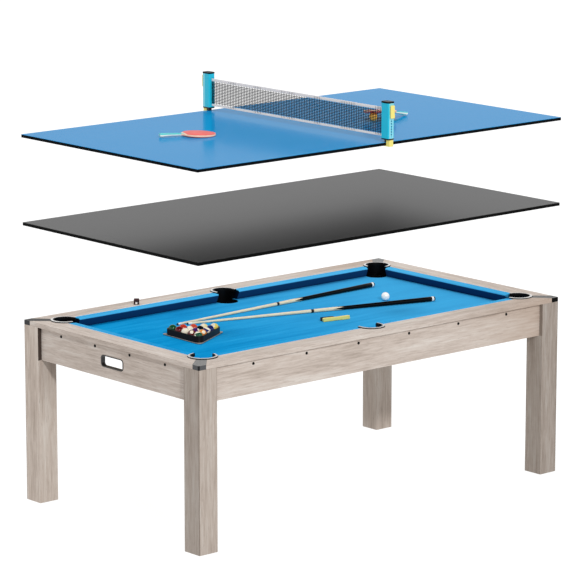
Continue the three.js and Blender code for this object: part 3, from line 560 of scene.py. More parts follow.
def makeBedCloth():
    xs = bedLines(bed["edgeX"], bed["notchX"])
    ys = bedLines(bed["edgeY"], bed["notchY"])
    flat = np.stack(np.meshgrid(xs, ys, indexing="ij"), -1)
    inside = np.zeros(flat.shape[:2], bool)
    starts = [(sx * bed["cornerX"], sy * bed["cornerY"], sx, sy) for sx in (-1, 1) for sy in (-1, 1)]
    starts += [(0, sy * bed["sideY"], 0, sy) for sy in (-1, 1)]
    rim = flat.copy()
    for x, y, wayX, wayY in starts:  # a hole is a slot that runs outwards from its centre
        way = np.array([wayX, wayY]) / math.hypot(wayX, wayY)
        along = np.maximum(0, (flat - [x, y]) @ way)
        nearest = np.array([x, y]) + along[..., None] * way
        away = flat - nearest
        reach = np.linalg.norm(away, axis=-1, keepdims=True)
        within = reach[..., 0] < bed["hole"]
        rim = np.where(within[..., None], nearest + away / np.maximum(reach, 1e-6) * bed["hole"], rim)
        inside |= within
    keep = ~(inside[:-1, :-1] & inside[1:, :-1] & inside[:-1, 1:] & inside[1:, 1:])
    middleX, middleY = np.abs(xs[1:] + xs[:-1]) / 2, np.abs(ys[1:] + ys[:-1]) / 2
    keep &= ~((middleX[:, None] > bed["notchX"]) & (middleY[None, :] > bed["notchY"]))
    points = np.concatenate([rim, np.full((*rim.shape[:2], 1), tableTop["bed"])], -1)
    mesh = gridMesh("bedCloth", points)
    shape = bmesh.new()
    shape.from_mesh(mesh)
    shape.faces.ensure_lookup_table()
    gone = [shape.faces[k] for k in np.flatnonzero(~keep.ravel())]
    bmesh.ops.delete(shape, geom=gone, context="FACES")
    area = sum(face.calc_area() for face in shape.faces)
    shape.to_mesh(mesh)
    shape.free()
    piece = addPiece("bed_cloth_stretched", [mesh], [bedCloth], "table", ["bed_cloth"])
    if piece.data.polygons[0].normal.z < 0:
        piece.data.flip_normals()
    thick = piece.modifiers.new("thick", "SOLIDIFY")
    thick.thickness = bed["thick"] * mm
    thick.offset = -1


makeBedCloth()

# Cushions: a rubber section under cloth, swept along each rail. Depth is from the table's edge.
cushion = {"facingFrom": 97.0, "facingStart": 183.53, "facingRun": 14 / 43, "middle": 60.5, "steps": 40}
sectionTop = [(97.6, 809.0), (105, 809.25), (118, 809.45), (130, 809.3), (135.2, 808.6)]
sectionNose = [(138.2, 806.9), (139.6, 804.2), (139.8, 801.6), (139.2, 799.2)]
sectionUnder = [(138.6, 797.8), (133.6, 787.0), (128.2, 775.5), (124.2, 767.2)]
sectionSeat = [(122.8, 766.6), (60.4, 766.6), (60.4, 789.5), (97.6, 789.5)]
section = np.array(sectionTop + sectionNose + sectionUnder + sectionSeat)
# the rows under the nose carry the painted shade
darkFrom = len(sectionTop) + 2
underSide = np.array([0.0] * darkFrom + [1.0] * (len(sectionUnder) + 2) + [0.0] * len(sectionSeat))


# A cushion between two slanted or square ends: along = start + (end - start) · t, drawn in at its ends
def makeCushion(name, node, start, end, origin, along, inward):
    t = np.concatenate([[0, 0.0006, 0.002], np.linspace(0.005, 0.995, cushion["steps"]), [0.998, 0.9994, 1]])
    drawn = np.ones(len(t))
    drawn[[0, -1]], drawn[[1, -2]] = 0.965, 0.988
    middle = section.mean(0)
    shape = middle + (section - middle)[None] * drawn[:, None, None]
    depth, z = shape[..., 0], shape[..., 1]
    slide = cushion["facingRun"] * (depth - cushion["facingFrom"])
    runs = [side + slide * slant for side, slant in (start, end)]
    run = runs[0] + (runs[1] - runs[0]) * t[:, None]
    flat = np.array(origin) + run[..., None] * np.array(along) + depth[..., None] * np.array(inward)
    points = np.concatenate([flat, z[..., None]], -1)
    # the end facings are marked for painted shadow
    facings = np.zeros(len(t))
    facings[[0, -1]] = 1.0
    mesh = gridMesh(name, points, (False, True), True, facings, np.append(underSide, underSide[0]))
    piece = addPiece(name, [mesh], [cushionCloth], "table", [node], sharp=50)


near = (cushion["facingStart"] + tableTop["gap"], 1)
farLong = (halfLength - cushion["middle"], 0)
farEnd = (tableTop["width"] - cushion["facingStart"] - tableTop["gap"], -1)
for side, sy in (("front", 1), ("back", -1)):
    for end, sx in (("left", 1), ("right", -1)):
        makeCushion(f"cushion_{side}_{end}_covered", f"cushion_{side}_{end}", near, farLong,
                    (-sx * halfLength, -sy * halfWidth), (sx, 0), (0, sy))
for end, sx in (("left", 1), ("right", -1)):
    makeCushion(f"cushion_{end}_covered", f"cushion_{end}", near, farEnd,
                (-sx * halfLength, -halfWidth), (0, 1), (sx, 0))
print("cloth and cushions made")

# Pocket liners: a horseshoe trim at rail level and a ribbed cup
pocket = {"band": 14.0, "cupRadius": 48.0, "cupWall": 4.0, "cupBottom": 700.0, "ribs": 28, "ribDepth": 0.8,
          "armSteps": 6, "armBottom": 800.5}
cornerPocket = {"inset": 127.0, "radius": 64.0, "shift": 21.0, "armTip": (39.96, 49.87), "openFrom": 72.95}
sidePocket = {"inset": 100.0, "radius": 60.0, "shift": 24.0, "armTip": (20.0, 60.0), "openFrom": 90.0}
# Section of the trim by share of the band, height and whether it is the bright ring
trimSection = [(0.0, 766.6, 0), (0.0, 812.2, 0), (0.03, 813.4, 0), (0.06, 813.9, 0), (0.08, 814.1, 1),
               (0.3, 814.8, 1), (0.7, 814.95, 1), (0.74, 814.9, 0), (0.85, 814.6, 0), (0.96, 813.4, 0),
               (1.0, 811.5, 0), (1.0, 800.0, 0), (1.0, 766.6, 0)]


# Path of a pocket's trim, drawn in by inset: one arm, the arc round the back, the other arm
def horseshoe(shape, inset, steps=8, around=41):
    a = np.radians(np.linspace(shape["openFrom"], 360 - shape["openFrom"], around))
    arc = np.stack([np.cos(a), np.sin(a)], 1) * (shape["radius"] - inset)
    tip = np.array(shape["armTip"]) - [0, inset]
    arm = tip + np.linspace(0, 1, steps)[:-1, None] * (arc[0] - tip)
    return np.concatenate([arm, arc, arm[::-1] * [1, -1]])


# Plan of the cup: half rounds about its two centres, drawn in by its ribs: radius - depth · cos²
def cupLoop(radius, shift, depth=0.0, steps=57):
    a = np.stack([np.linspace(90, 270, steps), np.linspace(-90, 90, steps)])
    ribs = depth * np.maximum(0, np.cos(np.radians(a) * pocket["ribs"])) ** 2
    way = np.stack([np.cos(np.radians(a)), np.sin(np.radians(a))], -1)
    return (way * (radius - ribs)[..., None] + np.array([[[0, 0]], [[shift, 0]]])).reshape(-1, 2)


# One pocket's trim and cup, turned so that its opening faces the middle of the bed
def makePocket(name, node, shape, at, degrees):
    labels = np.array([bright for _, _, bright in trimSection], float)
    trim = between(horseshoe(shape, 0), horseshoe(shape, pocket["band"]), [step[:2] for step in trimSection])
    lowest = np.full(len(trim), trimSection[0][1])  # the arms are a strip, open below to the cushions' ends
    lowest[:pocket["armSteps"]] = lowest[-pocket["armSteps"]:] = pocket["armBottom"]
    trim[..., 2] = np.maximum(trim[..., 2], lowest[:, None])
    wall, low = pocket["cupRadius"] + pocket["cupWall"], pocket["cupBottom"]
    profile = [(wall - 4, low), (wall - 1.2, low + 1.2), (wall - 0.3, low + 5), (wall - 0.3, 765.7),
               (wall - 0.8, 766.0), (wall - 3, 766.0), (wall - 4, 765.4), (wall - 4, 752), (wall - 5.2, 751),
               (wall - 5.2, 746), (wall - 4, 745), (wall - 4, low + 8), (wall - 7, low + 4.6),
               (wall - 12, low + 4)]
    ribbed = (0, 0, 0, 0, 0, 0, 0, 0.6, 0, 0, 1, 1, 0, 0)
    cup = stacked(*((cupLoop(r, shape["shift"], pocket["ribDepth"] * share), z)
                    for (r, z), share in zip(profile, ribbed)))
    matrix, where = turn("Z", degrees), (*at, 0)
    meshes = [gridMesh(name, placed(trim, matrix, where), (False, True), True, columnsAt=np.append(labels, 0)),
              gridMesh(name, placed(cup, matrix, where), (False, True), True,
                       columnsAt=np.zeros(cup.shape[1] + 1))]
    addPiece(name, meshes, [pocketMix], "table", [node], sharp=35)


f = newFinish("pocketLiner")
bright = f.step(f.uv()[0], 0.4, 0.6)
grain = f.noise(f.place(), 600.0, 2.0, 0.5)
pocketMix = f.shade(Base_Color=f.mix(bright, colour("#050608"), colour("#dcdad8")), Metallic=bright * 0.3,
                    Roughness=0.36 - bright * 0.06, Normal=f.bump(grain, 0.00008, 0.4), Specular_IOR_Level=0.1)
for end, (sx, sy) in zip(ends, ((-1, -1), (1, -1), (1, 1), (-1, 1))):
    at = (sx * (halfLength - cornerPocket["inset"]), sy * (halfWidth - cornerPocket["inset"]))
    makePocket(f"pocket_{end}_liner", f"pocket_{end}", cornerPocket, at, math.degrees(math.atan2(-sy, -sx)))
for side, sy in (("front", -1), ("back", 1)):
    makePocket(f"pocket_{side}_middle_liner", f"pocket_{side}_middle", sidePocket,
               (0, sy * (halfWidth - sidePocket["inset"])), -90 * sy)
print("pockets made")

# Cushion bolts: domed heads along each apron
bolt = {"radius": 6.4, "height": 3.4, "drive": 1.3, "z": 771.0, "recess": 18.0,
        "long": (-739.8, -443.9, -148.0, 148.0, 443.9, 739.8), "short": (-355.5, -118.5, 118.5, 355.5)}
headR, headTop = bolt["radius"], bolt["height"]
dome = lathe([(0, -1), (headR, -1), (headR, 0.6), (headR * 0.9, headTop * 0.6), (headR * 0.62, headTop * 0.92),
              (2.4, headTop), (2.0, headTop - bolt["drive"]), (0, headTop - bolt["drive"])], 20)
faceX, faceY = halfLength - bolt["recess"], halfWidth - bolt["recess"]
rows = {"front": (turn("X", 90), [(x, -faceY) for x in bolt["long"]]),
        "back": (turn("X", -90), [(x, faceY) for x in bolt["long"]]),
        "left": (turn("Y", -90), [(-faceX, y) for y in bolt["short"]]),
        "right": (turn("Y", 90), [(faceX, y) for y in bolt["short"]])}
for side, (matrix, spots) in rows.items():
    heads = np.stack([placed(dome, matrix, (x, y, bolt["z"])) for x, y in spots])
    addPiece(f"cushion_bolts_{side}", [gridMesh("bolts", heads, (False, True))], [boltSteel],
             "table")

# Balls, their insert and the rack
rack = {"at": (-585.48, -10.63), "turn": -1.8, "ball": 19.05, "pitch": 45.3, "rows": 5, "seat": 8.3,
        "insert": 2.0, "clearance": 2.0, "wall": 4.0, "height": 31.0, "flange": 4.0, "flangeCorner": 14.0,
        "flangeThick": 4.0, "floor": 8.0}
# Colour and whether it is a band on white, by row from the apex and place in the row
ballPaint = [[("#ead25a", 1)], [("#15215f", 0), ("#efe0a0", 1)],
             [("#141f66", 1), ("#08080a", 0), ("#c8452f", 0)],
             [("#e08a34", 0), ("#42145f", 0), ("#3c1a66", 1), ("#c2341f", 0)],
             [("#115236", 1), ("#5e0f12", 0), ("#f0e4cf", 1), ("#641015", 0), ("#0b4d2c", 0)]]
rackMatrix = turn("Z", rack["turn"])
rackReach = (rack["rows"] - 1) * rack["pitch"] / math.sqrt(3)
rackPlace = (*rack["at"], bedSeat)
rng = np.random.default_rng(7)
globe = sphere(1.0, 19, 36)
balls, paints, bands, skins = [], [], [], []
for row, painted in enumerate(ballPaint):
    for i, (web, banded) in enumerate(painted):
        x, y = rackReach - row * rack["pitch"] * math.sqrt(3) / 2, (i - row / 2) * rack["pitch"]
        balls.append(globe * rack["ball"] + [x, y, rack["seat"] + rack["ball"]])
        paints.append(np.broadcast_to(colour(web), (*globe.shape[:2], 4)))
        bands.append(np.full((*globe.shape[:2], 1), banded))
        tilt = turn("Z", rng.uniform(0, 360)) @ turn("X", rng.uniform(20, 60)) @ turn("Z", rng.uniform(0, 360))
        skins.append(globe @ tilt.T)
ballMesh = gridMesh("balls", placed(np.stack(balls), rackMatrix, rackPlace), (False, True),
                    paint=np.stack(paints), band=np.stack(bands), skin=np.stack(skins))
insertLoop = [roundedTriangle(rackReach, rack["ball"] - inset) for inset in (0.4, 0.0, 0.0, 0.4)]
insertLevels = [rack["seat"] + z for z in (0.0, 0.4, rack["insert"] - 0.4, rack["insert"])]
insertMesh = gridMesh("insert", placed(stacked(*zip(insertLoop, insertLevels)), rackMatrix, rackPlace),
                      (False, True), True)
f = newFinish("ballResin")
paint, band, skin = f.attribute("paint", 0), f.attribute("band"), f.attribute("skin", 1)
skinX, _, skinZ = f.parts(skin)
belt = f.step(abs(skinZ), 0.52, 0.5)
spot = f.step(abs(skinX), 0.9, 0.91)
inked = (1 - band * (1 - belt)) * (1 - spot)
ballResin = f.shade(Base_Color=f.mix(inked, colour("#f1e6d2"), paint), Roughness=0.12, Specular_IOR_Level=0.4)
addPiece("racked_balls_painted", [ballMesh, insertMesh], [ballResin, blackPlastic], "racked_balls",
         ["racked_balls"])
innerR = rack["ball"] + rack["clearance"]
outerR = innerR + rack["wall"]
flangeReach = rackReach + 2 * (outerR + rack["flange"] - rack["flangeCorner"])
flangeTop, top, bottom = rack["flangeThick"], rack["height"], rack["floor"]
# Section of the flange by inset, height and painted highlight, and of the wall by radius, height and painted
# highlight
flangeSteps = [(0.8, 0, 0), (0, 0.8, 0), (0, 1.7, 0), (0, 2.0, 1), (0, flangeTop - 0.6, 1),
               (0.8, flangeTop, 1)]
wallSteps = [(outerR + 1.6, flangeTop, 0.6), (outerR + 0.5, flangeTop + 0.5, 0), (outerR, flangeTop + 1.6, 0),
             (outerR, top - 1.4, 0), (outerR - 0.4, top - 0.4, 0), (outerR - 1.2, top, 0),
             (innerR + 1.2, top, 0), (innerR + 0.4, top - 0.4, 0), (innerR, top - 1.4, 0),
             (innerR, bottom + 1.4, 0), (innerR - 0.4, bottom + 0.3, 0), (innerR - 1.4, bottom, 0)]
rackLevels = [(roundedTriangle(flangeReach, rack["flangeCorner"] - inset), z) for inset, z, _ in flangeSteps]
rackLevels += [(roundedTriangle(rackReach, radius), z) for radius, z, _ in wallSteps]
wearAndHighlight = [wornAndHighlit for _, _, wornAndHighlit in flangeSteps + wallSteps]
# a pale painted highlight along the flange's top and the wall's foot
f = newFinish("rackPlastic")
fine = f.noise(f.place(), 600.0, 2.0, 0.5)
wornAndHighlit = f.step(f.uv()[1], 0.5, 0.9)
rackBlack = f.mix(fine, colour("#04050a"), colour("#090b12"))
rackPlastic = f.shade(Base_Color=f.mix(wornAndHighlit * 0.6, rackBlack, colour("#b9b2ac")), Roughness=0.3,
                      Normal=f.bump(fine, 0.00003, 0.4), Specular_IOR_Level=0.12)
rackPoints = placed(stacked(*rackLevels), rackMatrix, rackPlace)
rackMesh = gridMesh("rack", rackPoints, (False, True), True, rowsAt=wearAndHighlight)
addPiece("ball_rack_moulded", [rackMesh], [rackPlastic], "ball_rack", ["ball_rack"])

# Cue ball
cueBall = {"at": (552.09, 9.79), "radius": 19.05}
cueGlobe = sphere(cueBall["radius"], 25, 48) + (*cueBall["at"], bedSeat + cueBall["radius"])
addPiece("cue_ball_polished", [gridMesh("cueBall", cueGlobe, (False, True))], [ballCream], "cue_ball",
         ["cue_ball"])

# Cues: V of the surface map is the share of the length from the butt, U goes round
cue = {"length": 1220.0, "joint": 610.0, "base": 777.6, "drop": 6.5, "sleeve": 19.2, "collar": 10.0,
       "ferrule": 25.0, "tipGap": 4.0, "buttA": (720.72, 272.35), "turnA": 182.4, "buttB": (712.53, -146.98)}
# Along the cue, by share of its length: where the black ends in points, and the bands of other colours
cueLook = {"blackEnd": (0.376, 0.374), "points": 0.045, "joint": (0.497, 0.508), "sleeve": (0.0062, 0.0148),
           "ferrule": (0.979, 0.9942)}
tipA = turn("Z", cue["turnA"])[:2, 0] * cue["length"] + cue["buttA"]
cueTurnB = math.degrees(math.atan2(*(tipA - [0, cue["tipGap"]] - cue["buttB"])[::-1]))
joint, tip, sleeve = cue["joint"], cue["length"], cue["sleeve"]
collar, ferrule = joint + cue["collar"], tip - cue["ferrule"]
buttProfile = [(0, 0), (6.5, 0), (9.0, 0.8), (10.3, 3), (10.8, 7.6), (10.2, 8.0), (10.2, 8.6), (10.95, 9.0),
               (10.93, 18), (10.7, 18.3), (10.7, 18.9), (10.9, sleeve)]
buttProfile += [(10.9 - 3.4 * (s - sleeve) / (joint - sleeve), s) for s in np.linspace(60, joint - 4, 14)]
buttProfile += [(7.5, joint), (0, joint)]
shaftProfile = [(0, joint + 0.3), (7.45, joint + 0.3), (7.45, joint + 8), (7.2, joint + 8.4), (7.2, joint + 9),
                (7.42, joint + 9.4)]
shaftProfile += [(7.4 - 2.9 * (s - collar) / (ferrule - collar), s)
                 for s in np.linspace(joint + 50, ferrule, 14)]
shaftProfile += [(4.55, tip - 24), (4.5, tip - 7), (4.4, tip - 6.6), (4.4, tip - 3.5), (3.9, tip - 1.2),
                 (2.4, tip - 0.3), (0, tip)]
f = newFinish("cueWood")
around, share, _ = f.uv()
fibres = f.node("ShaderNodeCombineXYZ", {}, {0: around * 9.0, 1: share * 14.0, 2: 0.0})
ash = f.noise(fibres, 3.0, 4.0, 0.6, 0.3)
wood = f.ramp(ash, (0.3, colour("#d8c49c")), (0.6, colour("#efe2c6")))
saw = abs((around * 4.0).math("FRACT") - 0.5) * 2.0
black = f.step(share - saw * cueLook["points"], *cueLook["blackEnd"])
wood = f.mix(black, wood, colour("#040405"))
wood = f.mix(inBand(share, cueLook["joint"]), wood, colour("#2a2220"))
wood = f.mix(inBand(share, cueLook["sleeve"]) | inBand(share, cueLook["ferrule"]), wood, colour("#eeebe4"))
bumpers = (share < cueLook["sleeve"][0]) | (share > cueLook["ferrule"][1])
cueWood = f.shade(Base_Color=f.mix(bumpers, wood, colour("#2c3e4c")), Roughness=0.3, Specular_IOR_Level=0.12)
cueSlope = math.degrees(math.atan2(cue["drop"], cue["length"]))
for key, at, degrees in (("a", cue["buttA"], cue["turnA"]), ("b", cue["buttB"], cueTurnB)):
    matrix = turn("Z", degrees) @ turn("Y", 90 + cueSlope)
    for part, profile, look in (("butt", buttProfile, "black_lacquer"), ("shaft", shaftProfile, "cue_ash")):
        points = placed(lathe(profile, 28), matrix, (*at, cue["base"]))
        mesh = gridMesh(part, points, (False, True), rowsAt=np.array(profile)[:, 1] / cue["length"])
        addPiece(f"cue_{key}_{part}_turned", [mesh], [cueWood], f"cue_{key}", [f"cue_{key}_{part}"])
print("balls and cues made")

# Brush on its side: a waisted back, and tapered strands behind its head
brush = {"at": (98.07, -165.85), "turn": -12.4, "length": 134.0, "width": 17.0, "back": 12.0, "head": 0.46,
         "bristle": 19.0, "spread": 1.1, "columns": 34, "rows": 9, "root": 0.75, "tip": 0.4, "edge": 2.0}
brushMatrix, brushPlace = turn("Z", brush["turn"]), (*brush["at"], bedSeat)
half, rounding = brush["length"] / 2, np.array([0, 0.4, 1.8, 5.0])
along = np.concatenate([rounding - half, np.linspace(11 - half, half - 11, 25), (half - rounding)[::-1]])
drawnIn = np.interp(np.abs(along), [0, *(half - rounding)[::-1]], [1, 1, 0.95, 0.82, 0.66])
waist = (1 - 0.11 * np.exp(-((along - 4) / 20) ** 2)) * drawnIn
loop = roundedRectangle(brush["back"] / 2, brush["width"] / 2, 2.4)
back = np.stack([np.column_stack([np.full(len(loop), x), loop[:, 0] * (0.6 + 0.4 * d) + brush["back"] / 2,
                                  loop[:, 1] * w + brush["width"] / 2])
                 for x, w, d in zip(along, waist, drawnIn)])
headLength = brush["head"] * brush["length"]
headX = np.linspace(brush["edge"], headLength - brush["edge"], brush["columns"]) - headLength / 2
headZ = np.linspace(brush["edge"], brush["width"] - brush["edge"], brush["rows"]) - brush["width"] / 2
grid = np.stack(np.meshgrid(headX, headZ, indexing="ij"), -1).reshape(-1, 1, 1, 2)
down = np.array([0.0, 0.5, 1.0])[None, :, None, None]
spread = 1 + (brush["spread"] - 1) * down
fan = arcs([[0, 0]], 1.0, np.arange(5)[None] * 72).reshape(1, 1, 5, 2)
thick = brush["root"] + (brush["tip"] - brush["root"]) * down
lengths = 1 - rng.uniform(0, 0.05, (len(grid), 1, 1, 1)) * down
cross = grid * spread + fan * thick
depth = np.broadcast_to(brush["back"] - 1 + (brush["bristle"] + 1) * down * lengths, (*cross.shape[:3], 1))
strands = np.concatenate([cross[..., :1] + headLength / 2 - half, depth,
                          cross[..., 1:] + brush["width"] / 2], -1)
f = newFinish("brushWood")
grain = f.noise(f.place((2.0, 16.0, 16.0), (0, 0, math.radians(-brush["turn"]))), 9.0, 4.0, 0.6)
brushWood = f.shade(Base_Color=f.ramp(grain, (0.3, colour("#e4d05c")), (0.7, colour("#f4e68e"))),
                    Roughness=0.4, Coat_Weight=0.3)
bristleBlack = plastic("bristleBlack", "#131313", 0.6)
addPiece("table_brush_bristled",
         [gridMesh("back", placed(back, brushMatrix, brushPlace), (False, True), True),
          gridMesh("strands", placed(strands, brushMatrix, brushPlace), (False, True), True)],
         [brushWood, bristleBlack], "table_brush", ["table_brush"])

# Chalk: a cube in a paper wrap, with a worn hollow on top. Heights of the wrap and its label are in metres.
chalk = {"at": (-478.8, 528.0, 810.3), "turn": -41.1, "labelHalf": 0.0045, "label": (0.8125, 0.8215),
         "wrapTop": (0.8300, 0.8298)}
# Half width, corner radius and height
chalkSteps = [(11.5, 2.0, 0), (12.0, 2.2, 0.6), (12.0, 2.2, 10), (12.0, 2.2, 19.4), (11.6, 2.0, 19.6),
              (11.6, 2.0, 23.2), (11.0, 2.0, 24.0), (9.2, 6.0, 24.0), (8.0, 8.0, 23.8), (6.4, 6.4, 22.9),
              (4.0, 4.0, 22.3), (1.5, 1.5, 22.1)]
chalkLevels = [(roundedRectangle(h, h, r - 1e-3), z) for h, r, z in chalkSteps]
chalkPoints = placed(stacked(*chalkLevels), turn("Z", chalk["turn"]), chalk["at"])
f = newFinish("chalkBlock")
x, y, z = f.parts(f.place())
dust = f.noise(f.place(), 700.0, 4.0, 0.7)
wrapped = f.step(z, *chalk["wrapTop"])
c, s = math.cos(math.radians(chalk["turn"])), math.sin(math.radians(chalk["turn"]))
offX, offY = x - chalk["at"][0] * mm, y - chalk["at"][1] * mm
acrossX, acrossY = offX * c + offY * s, offY * c - offX * s
label = (abs(acrossX) < chalk["labelHalf"]) | (abs(acrossY) < chalk["labelHalf"])
base = f.mix(wrapped, f.ramp(dust, (0.3, colour("#2c0e0f")), (0.7, colour("#4a1617"))), colour("#2a0d0e"))
base = f.mix(label * inBand(z, chalk["label"]), base, colour("#eee9e4"))
chalkBlock = f.shade(Base_Color=base, Roughness=0.8, Normal=f.bump(dust, 0.0003, 0.5))
addPiece("chalk_wrapped", [gridMesh("chalk", chalkPoints, (False, True), True)], [chalkBlock], "chalk",
         ["chalk"])
print("brush and chalk made")

# Net: thin cords both ways between two tapes
net = {"low": 1650.0, "high": 1775.0, "from": -572.5, "to": 575.0, "tapes": (10.0, 12.5), "thick": 2.7,
       "cord": 1.5, "rows": 14, "pitch": 10.9, "tuck": 3.0}


# Points of the net's plane, at X = 0
def netPoints(y, z):
    return np.stack(np.broadcast_arrays(0.0, y, z), 1)


# Straight cords along an axis: a small ring of points at each end
def netCords(starts, stops, axis):
    ring = np.insert(arcs([[0, 0]], net["cord"], np.arange(5)[None] * 72), axis, 0, axis=1)
    return np.stack([starts, stops], 1)[:, :, None, :] + ring[None, None]


lowTape, highTape = net["tapes"]
shares = np.arange(1, net["rows"] + 1) / (net["rows"] + 1)
rowZ = net["low"] + lowTape + (net["high"] - net["low"] - lowTape - highTape) * shares
rowCords = netCords(netPoints(net["from"], rowZ), netPoints(net["to"], rowZ), 1)
columnY = np.arange(net["from"] + net["pitch"], net["to"], net["pitch"])
columnCords = netCords(netPoints(columnY, net["low"] + net["tuck"]),
                       netPoints(columnY, net["high"] - net["tuck"]), 2)
tapeY = np.linspace(net["from"], net["to"], 90)
ripple = 0.35 * np.sin(tapeY / 31) + 0.2 * np.sin(tapeY / 12.7)
tapes = []
for z, tape in ((net["low"] + lowTape / 2, lowTape), (net["high"] - highTape / 2, highTape)):
    tapeLoop = roundedRectangle(net["thick"] / 2, tape / 2, 1.0, 4)
    tapes.append(np.stack([np.column_stack([tapeLoop[:, 0] + r, np.full(len(tapeLoop), y), tapeLoop[:, 1] + z])
                           for r, y in zip(ripple, tapeY)]))
netCord = plastic("netCord", "#10131c", 0.7, level=0.1)
f = newFinish("netTape")
threads = f.noise(f.place((1, 2, 1)), 900.0, 2.0, 0.6)
netTape = f.shade(Base_Color=f.ramp(threads, (0.3, colour("#d4d2d6")), (0.7, colour("#f0eff1"))),
                  Roughness=0.85, Normal=f.bump(threads, 0.0003, 0.5))
netMeshes = [gridMesh("cords", np.concatenate([rowCords, columnCords]), (False, True), True),
             gridMesh("tapes", np.stack(tapes), (False, True), True)]
netPiece = addPiece("net_knotted", netMeshes, [netCord, netTape], "tennis_board", ["net"],
                    sharp=60)

# Paddles: a ply blade, a rubber sheet on each face and a flared handle, along X from the blade's middle
paddle = {"length": 148.0, "width": 146.0, "shoulder": 26.0, "neckEnd": 81.0, "rubberEnd": 60.0,
          "handleWidth": 28.0, "handleThick": 20.0, "handleCorner": 6.0, "paleSide": (-9.4, -3.0),
          "seat": 1628.3, "lying": {"at": (-495.6, 66.86), "rise": 7.116, "turn": 156.7, "slope": 2.028},
          "leaning": {"at": (350.7, -122.62), "off": (30.0, 27.87, 37.53), "turn": -41.1, "lean": -11.7,
                      "spin": 47.0}}
# Ply by inset and height; rubber by inset, cut-back at the neck and height
plySteps = [(0.5, -3.4), (0, -2.8), (0, 2.8), (0.5, 3.4)]
rubberSteps = [(1.2, 0, 3.3), (0.6, 0, 3.6), (0.6, 0, 4.2), (1.0, 0.4, 4.5)]
# Handle: places of its rings, and shares of its full width and of its thickness above and below, by place
gripRings = [64, 66, 70, 80, 95, 115, 135, 152, 164, 170, 173, 174]
gripShares = {"width": ([64, 66, 80, 110, 150, 168, 173, 174],
                        [0.62, 0.72, 0.84, 0.86, 0.93, 1.0, 0.95, 0.84]),
              "above": ([64, 66, 80, 110, 168, 173, 174], [0.36, 0.38, 0.42, 0.42, 0.42, 0.38, 0.3]),
              "below": ([64, 66, 80, 110, 140, 168, 173, 174], [0.4, 0.42, 0.46, 0.5, 0.66, 1.0, 0.93, 0.8])}


# Outline of the blade, drawn in by inset: an oval (a cos t, b sin t) and a short neck to the handle
def bladeLoop(inset, stop, steps=64):
    start = math.asin(paddle["shoulder"] / paddle["width"])
    t = np.linspace(start, 2 * math.pi - start, steps)
    oval = np.stack([np.cos(t) * (paddle["length"] / 2 - inset), np.sin(t) * (paddle["width"] / 2 - inset)], 1)
    neckY = paddle["handleWidth"] / 2 - inset
    whole = np.concatenate([[[stop, neckY]], oval, [[stop, -neckY]]])
    whole[:, 0] = np.minimum(whole[:, 0], stop)
    return whole


# One paddle: stacked loops for the ply and rubbers, and rings scaled by their shares for the handle
def paddleMeshes(matrix, at):
    ply = stacked(*((bladeLoop(inset, paddle["neckEnd"]), z) for inset, z in plySteps))
    face = [(bladeLoop(inset, paddle["rubberEnd"] - cut), z) for inset, cut, z in rubberSteps]
    rubbers = [stacked(*((edge, side * z) for edge, z in face)) for side in (1, -1)]
    loop = roundedRectangle(paddle["handleWidth"] / 2, paddle["handleThick"] / 2, paddle["handleCorner"])
    width, above, below = (np.interp(gripRings, *table) for table in gripShares.values())
    y, z = loop.T
    grip = np.stack([np.column_stack([np.full(len(loop), x), y * w, z * np.where(z > 0, up, down)])
                     for x, w, up, down in zip(gripRings, width, above, below)])
    pale = ((z > paddle["paleSide"][0]) & (z < paddle["paleSide"][1])).astype(float)
    return (gridMesh("ply", placed(ply, matrix, at), (False, True), True),
            gridMesh("rubber", placed(np.stack(rubbers), matrix, at), (False, True), True),
            gridMesh("grip", placed(grip, matrix, at), (False, True), True,
                     columnsAt=np.append(pale, pale[0])))


f = newFinish("redRubber")
pips = f.node("ShaderNodeTexVoronoi", {}, {"Vector": f.place(), "Scale": 520.0})
wearAndHighlight = f.noise(f.place(), 30.0, 3.0, 0.6)
redRubber = f.shade(Base_Color=f.ramp(wearAndHighlight, (0.3, colour("#e2534f")), (0.7, colour("#ee6560"))), Roughness=0.5,
                    Normal=f.bump(pips, 0.0002, 0.25))
f = newFinish("plyEdge")
plies = f.noise(f.place((1, 1, 8)), 60.0, 2.0, 0.5)
plyEdge = f.shade(Base_Color=f.ramp(plies, (0.3, colour("#e6b8a0")), (0.7, colour("#f6d9c6"))), Roughness=0.5)
f = newFinish("paddleGrip")
side = f.step(f.uv()[0], 0.35, 0.65)
fine = f.noise(f.place(), 400.0, 2.0, 0.5)
paddleGrip = f.shade(Base_Color=f.mix(side, colour("#35c3c6"), colour("#e4efee")),
                     Roughness=0.38 + fine * 0.08)
lying, leaning = paddle["lying"], paddle["leaning"]
lyingMatrix = turn("Z", lying["turn"]) @ turn("Y", -lying["slope"])
lyingSpot = (*lying["at"], paddle["seat"] + lying["rise"])
leaningFrame = turn("Z", leaning["turn"])
leaningMatrix = leaningFrame @ turn("X", leaning["lean"]) @ turn("Z", leaning["spin"])
leaningSpot = np.array([*leaning["at"], paddle["seat"]]) + leaningFrame @ np.array(leaning["off"])
for key, matrix, spot in (("a", lyingMatrix, lyingSpot), ("b", leaningMatrix, leaningSpot)):
    ply, rubber, grip = paddleMeshes(matrix, spot)
    addPiece(f"paddle_{key}_blade_covered", [ply, rubber], [plyEdge, redRubber], f"paddle_{key}",
             [f"paddle_{key}_blade"])
    addPiece(f"paddle_{key}_grip_shaped", [grip], [paddleGrip], f"paddle_{key}",
             [f"paddle_{key}_handle"])

